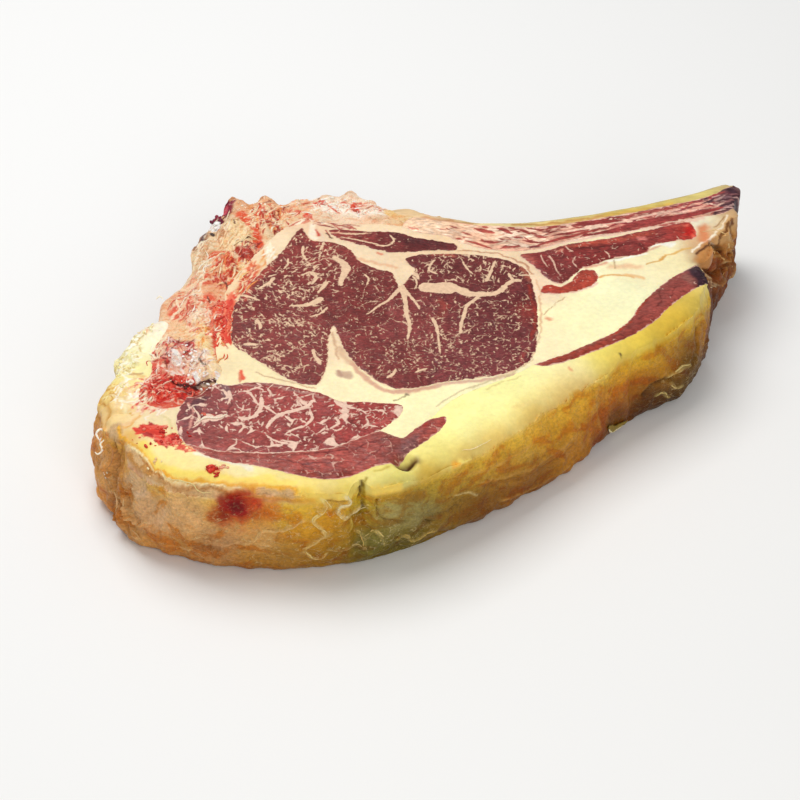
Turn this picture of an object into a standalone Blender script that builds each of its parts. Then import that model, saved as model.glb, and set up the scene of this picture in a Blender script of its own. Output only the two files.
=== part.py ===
"""Bone-in beef rib steak, a thick slice lying flat on its cut face.

Everything is worked out in millimetres in plan (X along the rib, Y towards the
rib, Z up) and scaled to metres when the meshes are made. The slice is a plan
map: the curves below meet at named corners, and each piece is the area between
some of them, run through the whole thickness of the slice.
"""
import math

import bmesh
import bpy
import numpy as np
from mathutils import Vector, noise
from mathutils.geometry import delaunay_2d_cdt

MM = 0.001
THICKNESS = 48.0
SEAM_GAP = 0.3
SEAM_BEVEL = 0.7
STEP_OUTER = 5.0
STEP_SEAM = 5.0
STEP_MUSCLE = 4.6
SIDE_LEVELS = (0.0, 0.06, 0.2, 0.38, 0.58, 0.78, 1.0)
ROLL_WIDTH = 1.4
TUCK_HEIGHT = 7.0

# Corners where three pieces meet, in plan.
NECK = (-19, 95)
RIB_TIP = (152, 115)
MEAT_TIP = (151, 95)
FLANK_BACK = (129, 47)
FLANK_FRONT = (132, 33)
LEFT_EDGE = (-128, 4)
RIB_ROOT = (-8, 87)
MEAT_ROOT = (-14, 79)
CAP_CORNER = (-98, -43)
CAP_SIDE = (-113, -60)
CAP_HEEL = (-109, -86)
CAP_SPLIT = (-24, -77)
STRIP_HEAD = (-2, -69)
FLANK_POINT = (46, -30)

# Outer curves, clockwise. Each row is x, y, how far the foot stands out past
# the top edge, and how far the top edge drops as it rolls over.
RIB_BACK = [
    (*NECK, 0, 3), (-10, 95, 0, 2), (-2, 90, 1, 2), (12, 87, 2, 3), (24, 84, 2, 3),
    (45, 84, 2, 3), (67, 88, 2, 3), (102, 98, 2, 3), (131, 109, 2, 3),
    (143, 115, 1, 3), (149, 117, 0, 3), (*RIB_TIP, 0, 2)]
RIB_END = [(*RIB_TIP, 0, 2), (155, 110, -1, 2), (153, 102, -1, 2), (*MEAT_TIP, -1, 2)]
FAT_END = [
    (*MEAT_TIP, -1, 2), (153, 88, -3, 3), (145, 76, -1, 3), (137, 65, 3, 3), (134, 55, 4, 2),
    (*FLANK_BACK, 5, 2)]
FLANK_END = [(*FLANK_BACK, 5, 2), (130, 40, 4, 2), (*FLANK_FRONT, 1, 2)]
FAT_FRONT = [
    (*FLANK_FRONT, 1, 2), (125, 15, 2, 5), (108, -4, 1, 6), (97, -16, -2, 7), (86, -24, -1, 8),
    (75, -33, 2, 9), (64, -43, 5, 10), (50, -57, 5, 10), (30, -78, 0, 9), (14, -90, -2, 8),
    (-2, -101, -4, 7), (-18, -109, -4, 5), (-32, -114, -2, 5), (-54, -117, -1, 5),
    (-75, -115, 2, 6), (-94, -114, 1, 8), (-112, -109, 1, 10), (-124, -102, 3, 11),
    (-132, -94, 5, 11), (-139, -83, 7, 10), (-145, -72, 6, 9), (-150, -58, 3, 8),
    (-150, -46, 1, 6), (-146, -38, 0, 5), (-145, -27, -1, 5), (-143, -17, -2, 5),
    (-139, -8, -2, 5), (-136, -2, -2, 4), (*LEFT_EDGE, -1, 3)]
CHINE_SIDE = [
    (*LEFT_EDGE, -1, 3), (-127, 20, -1, 3), (-123, 29, -1, 3), (-118, 38, -1, 3), (-116, 50, -1, 3),
    (-114, 66, -1, 3), (-111, 80, -1, 4), (-104, 91, -1, 4), (-101, 99, -1, 4),
    (-93, 105, -1, 4), (-87, 102, -1, 4), (-80, 106, -1, 4), (-74, 102, -1, 4),
    (-66, 105, -1, 4), (-56, 109, -1, 4), (-43, 109, -1, 4), (-32, 105, -1, 4),
    (-26, 99, -1, 4), (*NECK, 0, 3)]

# Seams between pieces, each named by the pieces on its two sides.
RIB_CHINE = [NECK, (-17, 90), RIB_ROOT]
RIB_MEAT = [
    RIB_ROOT, (3, 84), (22, 80.5), (40, 78.5), (55, 79), (85, 86.5), (119, 97), (135, 103),
    (145, 109), RIB_TIP]
MEAT_CHINE = [RIB_ROOT, (-12, 84), MEAT_ROOT]
MEAT_FAT = [
    MEAT_ROOT, (-5, 73.5), (8, 70.5), (14, 66), (22, 61.5), (36, 58.5), (48, 59), (72, 68),
    (102, 76.5), (120, 83), (134, 87), (145, 90), MEAT_TIP]
FLANK_UPPER = [
    FLANK_BACK, (122, 43), (114, 36), (105, 25), (98, 15), (93, 5), (84, -6), (64, -20),
    (53, -26), FLANK_POINT]
FLANK_LOWER = [
    FLANK_POINT, (52, -31), (62, -27), (78, -18), (94, -7), (104, 3), (112, 14), (122, 25),
    FLANK_FRONT]
FASCIA = [FLANK_POINT, (36, -38), (22, -46), (9, -55), STRIP_HEAD]
STRIP_INNER = [STRIP_HEAD, (-8, -75), (-14, -81.5), (-19, -79.5), CAP_SPLIT]
CAP_INNER = [
    CAP_SPLIT, (-19, -71.5), (-14.5, -65), (-14, -59), (-26, -57), (-42, -56), (-50, -51),
    (-60, -47.5), (-74, -43), (-84, -43), (-92, -45), CAP_CORNER]
CAP_STRIP = [CAP_SPLIT, (-32, -81), (-45, -88.5), (-60, -91), (-75, -92), (-95, -90), CAP_HEEL]
CAP_CHINE = [CAP_CORNER, (-105, -48), (-110, -53), CAP_SIDE]
CAP_OUTER = [CAP_SIDE, (-114, -68), (-113, -78), CAP_HEEL]
STRIP_OUTER = [
    STRIP_HEAD, (5, -67), (5, -72), (-2, -82), (-11, -91), (-18, -98), (-27, -101), (-36, -107),
    (-46, -109), (-58, -107), (-75, -101), (-95, -96), CAP_HEEL]
CHINE_INNER = [
    MEAT_ROOT, (-26, 81), (-42, 81), (-54, 83), (-62, 87), (-70, 80), (-77, 70), (-88, 49),
    (-97, 28), (-98, 8), (-100, -10), (-99, -24), (-96, -34), CAP_CORNER]
CHINE_LEFT = [
    CAP_SIDE, (-122, -61), (-131, -56), (-132, -46), (-128, -36), (-129, -22), (-125, -9),
    (-123, 0), LEFT_EDGE]

# Closed outlines of the muscles that lie inside the fat.
EYE = [
    (-93, 13), (-88, 28), (-79, 46), (-71, 60), (-66, 74), (-63, 79), (-61, 73), (-57, 67),
    (-48, 66), (-40, 61), (-34, 50), (-26, 44), (-19, 41), (-15, 30), (-12, 35), (-8, 43),
    (-13, 51), (-7, 55), (2, 56), (14, 56), (31, 53), (44, 45), (49, 24), (49, -4), (46, -24),
    (36, -35), (18, -40), (3, -43), (-8, -47), (-18, -47), (-30, -37), (-38, -25), (-43, -11),
    (-46, -2), (-48, -12), (-48, -27), (-52, -44), (-60, -44), (-72, -35), (-85, -22), (-92, -15)]
INNER = [
    (-50, 76), (-34, 75), (-15, 74), (-9, 70), (7, 66), (13, 63), (12, 59), (3, 59), (-15, 57),
    (-24, 58.5), (-33, 62.5), (-45, 68.5)]
RIB_LEAN = [
    (43, 55), (52, 57), (60, 59), (66, 62), (85, 67), (108, 75), (120, 79.5), (127, 81),
    (130, 76), (129, 69), (117, 66), (108, 63), (104, 57), (86, 51.5), (79, 47.5), (74, 46),
    (69, 41.5), (65, 35), (61, 31.5), (55, 37), (49, 46)]
TAIL_LEAN = [
    (52, 25), (53, 29.5), (57, 30), (61, 28), (66, 31.5), (73, 41), (77, 39), (75, 33), (64, 26)]

# The side below each outer curve: how rough it is, how far it bulges at half
# height, how far the foot is tucked in, and the most that it may be cut back.
SIDES = {
    "rib_back": (0.3, 5.0, 1.5, 1.5), "rib_end": (1.0, 0.5, 1.0, 3.0),
    "fat_end": (1.5, 1.0, 1.5, 3.5), "flank_end": (0.8, 0.5, 1.5, 3.0),
    "fat_front": (1.3, 1.6, 2.5, 4.5), "chine_side": (2.4, 1.0, 2.0, 4.5)}
ROUGH_SCALE = 9.0

# Hollows in the cut face: x, y, radius and depth.
PITS = [(-13, -97.5, 6.5, 6.0), (-104, -52, 9.0, 4.0), (-115, -32, 8.0, 3.0), (-100, 0, 7.0, 2.5)]

# Upright folds and grooves in the side: x, y, half width, depth, lowest height.
FOLDS = [
    (-32, -114, 4.5, 4.5, 6.0), (-141, -82, 4.5, 3.5, 0.0), (96, -14, 6.0, 4.0, 0.0),
    (137, 66, 4.0, 2.5, 0.0), (150, 84, 4.0, 2.0, 0.0), (-147, -36, 4.0, 3.0, 0.0)]
# Swellings in the side: x, y, half width, height out, level.
SWELLINGS = [
    (-12, -107, 18.0, 2.5, 22.0), (116, 5, 14.0, 3.0, 14.0), (-60, -116, 20.0, 1.5, 20.0),
    (-104, -112, 14.0, 2.0, 28.0), (-150, -62, 12.0, 2.0, 24.0), (60, -47, 22.0, 2.0, 24.0)]


def curve(points, step, closed=False):
    """Evenly spaced points along a smooth curve through all the given ones."""
    knots = np.array(points, float)
    if closed:
        knots = np.vstack([knots[-1], knots, knots[0], knots[1]])
    else:
        knots = np.vstack([2 * knots[0] - knots[1], knots, 2 * knots[-1] - knots[-2]])
    fine = []
    for p0, p1, p2, p3 in zip(knots, knots[1:], knots[2:], knots[3:]):
        t1 = max(np.hypot(*(p1 - p0)[:2]), 1e-6) ** 0.5
        t2 = t1 + max(np.hypot(*(p2 - p1)[:2]), 1e-6) ** 0.5
        t3 = t2 + max(np.hypot(*(p3 - p2)[:2]), 1e-6) ** 0.5
        for t in np.linspace(t1, t2, 12, endpoint=False):
            a1 = p0 + (p1 - p0) * t / t1
            a2 = p1 + (p2 - p1) * (t - t1) / (t2 - t1)
            a3 = p2 + (p3 - p2) * (t - t2) / (t3 - t2)
            b1 = a1 + (a2 - a1) * t / t2
            b2 = a2 + (a3 - a2) * (t - t1) / (t3 - t1)
            fine.append(b1 + (b2 - b1) * (t - t1) / (t2 - t1))
    fine.append(knots[-2])
    fine = np.array(fine)
    run = np.concatenate([[0.0], np.cumsum(np.hypot(*np.diff(fine[:, :2], axis=0).T))])
    count = max(2, round(run[-1] / step))
    stops = np.linspace(0.0, run[-1], count + 1)
    if closed:
        stops = stops[:-1]
    return np.column_stack([np.interp(stops, run, column) for column in fine.T])


def blurred(values, reach):
    """Values round a closed loop, averaged over a few neighbours."""
    total = np.zeros_like(values)
    for shift in range(-reach, reach + 1):
        total += np.roll(values, shift)
    return total / (2 * reach + 1)


class Outline:
    """The outer curves joined into one loop, with what the side does there."""

    def __init__(self, arcs):
        self.arcs = {}
        rows = []
        for name, points in arcs.items():
            sampled = curve([(x, y, lean, roll) for x, y, lean, roll in points], STEP_OUTER)
            side = np.tile(SIDES[name], (len(sampled), 1))
            self.arcs[name] = (len(rows), len(sampled))
            rows.extend(np.hstack([sampled, side])[:-1].tolist())
        table = np.array(rows)
        self.points = table[:, :2]
        ahead = np.roll(self.points, -1, axis=0) - np.roll(self.points, 1, axis=0)
        ahead /= np.hypot(*ahead.T)[:, None]
        self.normals = np.column_stack([-ahead[:, 1], ahead[:, 0]])
        shaped = [blurred(column, 1) for column in table[:, 2:].T]
        self.lean, self.roll, self.rough, self.bulge, self.tuck, self.most_in = shaped

    def arc(self, name):
        """Indices of the points on one outer curve, both ends included."""
        first, count = self.arcs[name]
        return [(first + i) % len(self.points) for i in range(count)]

    def drop(self, x, y):
        """How far the cut face has rolled down at a place near the edge."""
        away = np.hypot(self.points[:, 0] - x, self.points[:, 1] - y)
        nearest = int(np.argmin(away))
        roll = self.roll[nearest]
        inside = min(away[nearest] / (ROLL_WIDTH * roll), 1.0)
        return roll * (1.0 - math.sqrt(1.0 - (1.0 - inside) ** 2))


OUTLINE = Outline({
    "rib_back": RIB_BACK, "rib_end": RIB_END, "fat_end": FAT_END, "flank_end": FLANK_END,
    "fat_front": FAT_FRONT, "chine_side": CHINE_SIDE})


def side_offset(index, level, height):
    """How far the side stands out past the outline at a level of its height."""
    x, y = OUTLINE.points[index]
    z = level * height
    out = OUTLINE.lean[index] * (1.0 - level)
    out -= OUTLINE.tuck[index] * max(0.0, 1.0 - z / TUCK_HEIGHT) ** 2
    out += OUTLINE.bulge[index] * math.sin(math.pi * level)
    spot = Vector((x, y, 0.7 * z)) / ROUGH_SCALE
    out += 1.6 * OUTLINE.rough[index] * noise.noise(spot)
    for fold_x, fold_y, half, depth, lowest in FOLDS:
        away = math.hypot(x - fold_x, y - fold_y) / half
        rise = min(max((z - lowest) / 12.0, 0.0), 1.0) if lowest else 1.0
        out -= depth * math.exp(-away ** 2) * rise
    for swell_x, swell_y, half, size, middle in SWELLINGS:
        away = math.hypot(x - swell_x, y - swell_y) / half
        out += size * math.exp(-away ** 2 - ((z - middle) / 14.0) ** 2)
    return max(out, -OUTLINE.most_in[index])


def cut_face(x, y, rise, lumps, scale):
    """Height of the cut face, with the lumps and hollows that it has there."""
    z = THICKNESS + rise - OUTLINE.drop(x, y)
    z += lumps * 1.5 * noise.noise(Vector((x, y, 31.0)) / scale)
    for pit_x, pit_y, radius, depth in PITS:
        away = math.hypot(x - pit_x, y - pit_y) / radius
        if away < 1.0:
            z -= depth * (1.0 - away ** 2) ** 2
    return z


class Seam:
    """One curve of the plan map, shared by the pieces on its two sides."""

    def __init__(self, points, outer=None):
        self.points = points
        self.outer = outer if outer is not None else [-1] * len(points)


SEAMS = {name: Seam(OUTLINE.points[OUTLINE.arc(name)], OUTLINE.arc(name)) for name in OUTLINE.arcs}
SEAMS.update({name: Seam(curve(points, STEP_SEAM)) for name, points in {
    "rib_chine": RIB_CHINE, "rib_meat": RIB_MEAT, "meat_chine": MEAT_CHINE, "meat_fat": MEAT_FAT,
    "flank_upper": FLANK_UPPER, "flank_lower": FLANK_LOWER, "fascia": FASCIA,
    "strip_inner": STRIP_INNER, "cap_inner": CAP_INNER, "cap_strip": CAP_STRIP,
    "cap_chine": CAP_CHINE, "cap_outer": CAP_OUTER, "strip_outer": STRIP_OUTER,
    "chine_inner": CHINE_INNER, "chine_left": CHINE_LEFT}.items()})


def area_between(*names):
    """Closed loop of the named curves in turn; a leading minus runs one back."""
    points = []
    outer = []
    for name in names:
        seam = SEAMS[name.lstrip("-")]
        order = -1 if name.startswith("-") else 1
        run = list(zip(seam.points[::order].tolist(), seam.outer[::order]))
        if points and outer[-1] < 0 and run[0][1] >= 0:
            outer[-1] = run[0][1]
        for point, index in run[1:] if points else run:
            points.append(point)
            outer.append(index)
    if outer[0] < 0:
        outer[0] = outer[-1]
    return np.array(points[:-1]), outer[:-1]


def island(outline):
    """Closed loop of a muscle that touches no outer curve."""
    points = curve(outline, STEP_MUSCLE, closed=True)
    return points, [-1] * len(points)


def wound(loop, clockwise):
    """The loop, turned so that the piece lies on the right of its run."""
    points, outer = loop
    x, y = points.T
    area = np.sum(x * np.roll(y, -1) - np.roll(x, -1) * y)
    if (area < 0) != clockwise:
        return points[::-1].copy(), outer[::-1]
    return points, outer


def moved_in(points, outer, inset):
    """The loop moved into its piece along the seams, and not along the outside."""
    ahead = np.roll(points, -1, axis=0) - points
    ahead /= np.hypot(*ahead.T)[:, None]
    inward = np.column_stack([ahead[:, 1], -ahead[:, 0]])
    result = points.copy()
    for i in range(len(points)):
        before = inward[i - 1]
        after = inward[i]
        far_before = 0.0 if outer[i - 1] >= 0 and outer[i] >= 0 else inset
        far_after = 0.0 if outer[i] >= 0 and outer[(i + 1) % len(points)] >= 0 else inset
        cross = before[0] * after[1] - before[1] * after[0]
        if abs(cross) < 0.25:
            mean = before + after
            mean /= max(np.hypot(*mean), 0.2)
            if outer[i] >= 0 and far_before == far_after == 0.0:
                continue
            result[i] += mean * inset
            continue
        shift = np.array([
            (far_before * after[1] - far_after * before[1]) / cross,
            (far_after * before[0] - far_before * after[0]) / cross])
        size = np.hypot(*shift)
        result[i] += shift * min(1.0, 2.0 * inset / max(size, 1e-9))
    return result


def inside(spots, loops):
    """Which of the spots lie inside the first loop and outside the others."""
    result = np.zeros(len(spots), bool)
    for loop in loops:
        x1, y1 = loop.T
        x2, y2 = np.roll(loop, -1, axis=0).T
        for start in range(0, len(spots), 2000):
            px, py = spots[start:start + 2000].T[:, :, None]
            crosses = (y1 > py) != (y2 > py)
            at = x1 + (py - y1) * (x2 - x1) / np.where(y2 == y1, 1.0, y2 - y1)
            result[start:start + 2000] ^= (np.sum(crosses & (px < at), axis=1) % 2).astype(bool)
    return result


def filling(loops, spacing):
    """Points on a staggered grid inside the loops, clear of their edges."""
    low = loops[0].min(axis=0)
    high = loops[0].max(axis=0)
    spots = []
    for row, y in enumerate(np.arange(low[1], high[1], spacing * 0.87)):
        for x in np.arange(low[0] + (row % 2) * spacing / 2, high[0], spacing):
            spots.append((x, y))
    for x, y, radius, _depth in PITS:
        for turn in range(6):
            angle = math.tau * turn / 6
            spots.append((x + 0.55 * radius * math.cos(angle), y + 0.55 * radius * math.sin(angle)))
    spots = np.array(spots)
    spots = spots[inside(spots, loops)]
    rim = np.vstack([np.vstack([loop, (loop + np.roll(loop, -1, axis=0)) / 2]) for loop in loops])
    kept = []
    for spot in spots:
        if np.min(np.hypot(*(rim - spot).T)) < 0.5 * spacing:
            continue
        if kept and np.min(np.hypot(*(np.array(kept) - spot).T)) < 0.4 * spacing:
            continue
        kept.append(spot)
    return np.array(kept).reshape(-1, 2)


def triangles(loops, extra):
    """Triangles over the area of the loops, as triples of point numbers."""
    points = np.vstack([*loops, extra])
    edges = []
    start = 0
    for loop in loops:
        edges += [(start + i, start + (i + 1) % len(loop)) for i in range(len(loop))]
        start += len(loop)
    found = delaunay_2d_cdt([Vector(point) for point in points], edges, [], 0, 1e-6)
    if len(found[0]) != len(points):
        raise ValueError("two outlines of a piece cross")
    middles = np.array([np.mean([found[0][k] for k in face], axis=0) for face in found[2]])
    keep = inside(middles, loops)
    names = [group[0] for group in found[3]]
    return [[names[k] for k in face] for face, kept in zip(found[2], keep) if kept]


def joined_columns(left, right):
    """Triangles between two upright rows of points, zipped from the foot up."""
    faces = []
    i = 0
    j = 0
    while i < len(left) - 1 or j < len(right) - 1:
        up_left = (i + 1) / (len(left) - 1) if i < len(left) - 1 else 2.0
        up_right = (j + 1) / (len(right) - 1) if j < len(right) - 1 else 2.0
        if up_left < up_right or (up_left == up_right and len(left) >= len(right)):
            faces.append((left[i], left[i + 1], right[j]))
            i += 1
        else:
            faces.append((left[i], right[j + 1], right[j]))
            j += 1
    return faces


def material(name, colour, roughness):
    """A plain glossy or matt finish in the piece's own colour."""
    made = bpy.data.materials.new(name)
    made.use_nodes = True
    shader = made.node_tree.nodes["Principled BSDF"]
    shader.inputs["Base Color"].default_value = (*colour, 1.0)
    shader.inputs["Roughness"].default_value = roughness
    shader.inputs["Metallic"].default_value = 0.0
    return made


def piece(name, loops, finish, spacing, rise=0.0, lumps=0.3, scale=14.0):
    """One solid of the map: walls on its loops, the cut face above, flat below."""
    loops = [wound(loop, clockwise=number == 0) for number, loop in enumerate(loops)]
    mesh = bmesh.new()
    columns = []
    foot_loops = []
    top_loops = []
    for points, outer in loops:
        wall = moved_in(points, outer, SEAM_GAP / 2)
        rim = moved_in(points, outer, SEAM_GAP / 2 + SEAM_BEVEL)
        feet = []
        tops = []
        group = []
        for at_wall, at_rim, index in zip(wall, rim, outer):
            height = cut_face(*at_rim, rise, lumps, scale)
            if index < 0:
                column = [(*at_wall, 0.0), (*at_wall, height - SEAM_BEVEL), (*at_rim, height)]
            else:
                column = []
                for level in SIDE_LEVELS:
                    out = side_offset(index, level, height)
                    place = at_wall + OUTLINE.normals[index] * out
                    column.append((*place, level * height))
            feet.append(column[0][:2])
            tops.append(column[-1][:2])
            group.append([mesh.verts.new(Vector(corner) * MM) for corner in column])
        foot_loops.append(np.array(feet))
        top_loops.append(np.array(tops))
        columns.append(group)
    for group in columns:
        for left, right in zip(group, group[1:] + group[:1]):
            for face in joined_columns(left, right):
                mesh.faces.new(face)
    extra = filling(top_loops, spacing)
    roof = [column[-1] for group in columns for column in group]
    for x, y in extra:
        height = cut_face(x, y, rise, lumps, scale)
        roof.append(mesh.verts.new(Vector((x, y, height)) * MM))
    floor = [column[0] for group in columns for column in group]
    for corners in triangles(top_loops, extra):
        mesh.faces.new([roof[k] for k in corners])
    for corners in triangles(foot_loops, np.empty((0, 2))):
        mesh.faces.new([floor[k] for k in corners])
    bmesh.ops.recalc_face_normals(mesh, faces=mesh.faces[:])
    data = bpy.data.meshes.new(name)
    mesh.to_mesh(data)
    mesh.free()
    data.materials.append(finish)
    made = bpy.data.objects.new(name, data)
    bpy.context.collection.objects.link(made)
    return made


for old in list(bpy.data.objects):
    bpy.data.objects.remove(old, do_unlink=True)

dark_lean = material("dark_lean", (0.16, 0.03, 0.035), 0.4)
light_lean = material("light_lean", (0.27, 0.06, 0.06), 0.4)
cream_fat = material("cream_fat", (0.87, 0.72, 0.47), 0.45)
yellow_fat = material("yellow_fat", (0.82, 0.55, 0.16), 0.45)
dry_bone = material("dry_bone", (0.48, 0.36, 0.14), 0.55)
sawn_bone = material("sawn_bone", (0.7, 0.38, 0.27), 0.65)

eye_loop = island(EYE)
inner_loop = island(INNER)
rib_lean_loop = island(RIB_LEAN)
tail_loop = island(TAIL_LEAN)

piece("eye_muscle", [eye_loop], dark_lean, 9.0)
piece("inner_muscle", [inner_loop], dark_lean, 9.0, rise=-0.3)
piece("rib_muscle", [rib_lean_loop], light_lean, 8.0, rise=0.3, lumps=0.6)
piece("rib_muscle_tail", [tail_loop], light_lean, 6.0, rise=0.3)
piece(
    "cap_muscle", [area_between("cap_inner", "cap_chine", "cap_outer", "-cap_strip")], light_lean,
    9.0, rise=0.2)
piece(
    "strip_muscle", [area_between("strip_inner", "cap_strip", "-strip_outer")], light_lean, 8.0,
    rise=0.6, lumps=0.6)
piece(
    "flank_muscle", [area_between("flank_end", "-flank_lower", "-flank_upper")], light_lean, 8.0,
    rise=0.8, lumps=0.4)
piece(
    "rib_cover_meat", [area_between("rib_meat", "rib_end", "-meat_fat", "-meat_chine")],
    light_lean, 8.0, lumps=0.6)
piece(
    "inner_fat",
    [area_between(
        "meat_fat", "fat_end", "flank_upper", "fascia", "strip_inner", "cap_inner", "-chine_inner"),
     eye_loop, inner_loop, rib_lean_loop, tail_loop], cream_fat, 9.0)
piece(
    "outer_fat",
    [area_between(
        "fat_front", "-chine_left", "cap_outer", "-strip_outer", "-fascia", "flank_lower")],
    yellow_fat, 7.0, lumps=0.6)
piece(
    "rib_bone", [area_between("rib_back", "-rib_meat", "-rib_chine")], dry_bone, 8.0, lumps=0.2)
piece(
    "chine_bone",
    [area_between(
        "chine_side", "rib_chine", "meat_chine", "chine_inner", "cap_chine", "chine_left")],
    sawn_bone, 6.0, lumps=2.2, scale=9.0)
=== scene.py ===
"""Looks of a bone-in beef rib steak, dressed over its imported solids.

Plan values are in millimetres (X along the rib, Y towards the rib, Z up) and the
meshes are in metres. The plan curves are those of the solids, sampled finely.
"""

import math

import bpy
import numpy as np
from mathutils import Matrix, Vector, kdtree, noise
from mathutils.bvhtree import BVHTree
from mathutils.geometry import delaunay_2d_cdt


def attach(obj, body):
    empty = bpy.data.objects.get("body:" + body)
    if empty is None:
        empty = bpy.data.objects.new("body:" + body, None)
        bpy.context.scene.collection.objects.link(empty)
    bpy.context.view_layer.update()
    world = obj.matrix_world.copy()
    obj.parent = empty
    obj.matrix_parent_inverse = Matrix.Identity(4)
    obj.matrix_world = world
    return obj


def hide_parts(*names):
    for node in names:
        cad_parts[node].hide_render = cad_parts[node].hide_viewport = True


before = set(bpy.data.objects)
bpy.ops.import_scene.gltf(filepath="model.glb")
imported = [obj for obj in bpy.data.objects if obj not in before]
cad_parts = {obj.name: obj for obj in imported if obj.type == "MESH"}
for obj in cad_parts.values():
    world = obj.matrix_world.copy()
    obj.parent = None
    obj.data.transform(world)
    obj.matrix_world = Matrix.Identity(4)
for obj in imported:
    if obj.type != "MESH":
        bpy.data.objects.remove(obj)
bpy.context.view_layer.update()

# Levels and lengths in mm.
MM = 0.001
THICKNESS = 48.0
STEP_RIM = 0.7
TUCK_HEIGHT = 7.0
ROUGH_SCALE = 9.0
CORNER_REACH = 9.0
SOLE_SPACING = 1.6
TOP_LEVEL = 30.0
LUMP_LEVEL = 31.0
RIM_LEVEL = 40.0
FAR = 9e3
# How wide the roll is for its drop, and how the point columns of the side and of a seam are divided.
ROLL_WIDTH = 1.4
SIDE_COUNT = 92
SEAM_LEVELS = (0.0, 0.5, 1.0)

# Corners where three pieces meet, in plan.
NECK = (-19, 95)
RIB_TIP = (152, 115)
MEAT_TIP = (151, 95)
FLANK_BACK = (129, 47)
FLANK_FRONT = (132, 33)
LEFT_EDGE = (-128, 4)
RIB_ROOT = (-8, 87)
MEAT_ROOT = (-14, 79)
CAP_CORNER = (-98, -43)
CAP_SIDE = (-113, -60)
CAP_HEEL = (-109, -86)
CAP_SPLIT = (-24, -77)
STRIP_HEAD = (-2, -69)
FLANK_POINT = (46, -30)

# Outer curves, clockwise: x, y, how far the foot stands out past the top edge,
# and how far the top edge drops as it rolls over.
RIB_BACK = [
    (*NECK, 0, 3), (-10, 95, 0, 2), (-2, 90, 1, 2), (12, 87, 2, 3), (24, 84, 2, 3), (45, 84, 2, 3),
    (67, 88, 2, 3), (102, 98, 2, 3), (131, 109, 2, 3), (143, 115, 1, 3), (149, 117, 0, 3),
    (*RIB_TIP, 0, 2)]
RIB_END = [(*RIB_TIP, 0, 2), (155, 110, -1, 2), (153, 102, -1, 2), (*MEAT_TIP, -1, 2)]
FAT_END = [
    (*MEAT_TIP, -1, 2), (153, 88, -3, 3), (145, 76, -1, 3), (137, 65, 3, 3), (134, 55, 4, 2),
    (*FLANK_BACK, 5, 2)]
FLANK_END = [(*FLANK_BACK, 5, 2), (130, 40, 4, 2), (*FLANK_FRONT, 1, 2)]
FAT_FRONT = [
    (*FLANK_FRONT, 1, 2), (125, 15, 2, 5), (108, -4, 1, 6), (97, -16, -2, 7), (86, -24, -1, 8),
    (75, -33, 2, 9), (64, -43, 5, 10), (50, -57, 5, 10), (30, -78, 0, 9), (14, -90, -2, 8),
    (-2, -101, -4, 7), (-18, -109, -4, 5), (-32, -114, -2, 5), (-54, -117, -1, 5), (-75, -115, 2, 6),
    (-94, -114, 1, 8), (-112, -109, 1, 10), (-124, -102, 3, 11), (-132, -94, 5, 11), (-139, -83, 7, 10),
    (-145, -72, 6, 9), (-150, -58, 3, 8), (-150, -46, 1, 6), (-146, -38, 0, 5), (-145, -27, -1, 5),
    (-143, -17, -2, 5), (-139, -8, -2, 5), (-136, -2, -2, 4), (*LEFT_EDGE, -1, 3)]
CHINE_SIDE = [
    (*LEFT_EDGE, -1, 3), (-127, 20, -1, 3), (-123, 29, -1, 3), (-118, 38, -1, 3), (-116, 50, -1, 3),
    (-114, 66, -1, 3), (-111, 80, -1, 4), (-104, 91, -1, 4), (-101, 99, -1, 4), (-93, 105, -1, 4),
    (-87, 102, -1, 4), (-80, 106, -1, 4), (-74, 102, -1, 4), (-66, 105, -1, 4), (-56, 109, -1, 4),
    (-43, 109, -1, 4), (-32, 105, -1, 4), (-26, 99, -1, 4), (*NECK, 0, 3)]

# Seams between pieces, each named by the pieces on its two sides.
RIB_CHINE = [NECK, (-17, 90), RIB_ROOT]
RIB_MEAT = [
    RIB_ROOT, (3, 84), (22, 80.5), (40, 78.5), (55, 79), (85, 86.5), (119, 97), (135, 103), (145, 109),
    RIB_TIP]
MEAT_CHINE = [RIB_ROOT, (-12, 84), MEAT_ROOT]
MEAT_FAT = [
    MEAT_ROOT, (-5, 73.5), (8, 70.5), (14, 66), (22, 61.5), (36, 58.5), (48, 59), (72, 68), (102, 76.5),
    (120, 83), (134, 87), (145, 90), MEAT_TIP]
FLANK_UPPER = [
    FLANK_BACK, (122, 43), (114, 36), (105, 25), (98, 15), (93, 5), (84, -6), (64, -20), (53, -26),
    FLANK_POINT]
FLANK_LOWER = [
    FLANK_POINT, (52, -31), (62, -27), (78, -18), (94, -7), (104, 3), (112, 14), (122, 25), FLANK_FRONT]
FASCIA = [FLANK_POINT, (36, -38), (22, -46), (9, -55), STRIP_HEAD]
STRIP_INNER = [STRIP_HEAD, (-8, -75), (-14, -81.5), (-19, -79.5), CAP_SPLIT]
CAP_INNER = [
    CAP_SPLIT, (-19, -71.5), (-14.5, -65), (-14, -59), (-26, -57), (-42, -56), (-50, -51), (-60, -47.5),
    (-74, -43), (-84, -43), (-92, -45), CAP_CORNER]
CAP_STRIP = [CAP_SPLIT, (-32, -81), (-45, -88.5), (-60, -91), (-75, -92), (-95, -90), CAP_HEEL]
CAP_CHINE = [CAP_CORNER, (-105, -48), (-110, -53), CAP_SIDE]
CAP_OUTER = [CAP_SIDE, (-114, -68), (-113, -78), CAP_HEEL]
STRIP_OUTER = [
    STRIP_HEAD, (5, -67), (5, -72), (-2, -82), (-11, -91), (-18, -98), (-27, -101), (-36, -107),
    (-46, -109), (-58, -107), (-75, -101), (-95, -96), CAP_HEEL]
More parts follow.
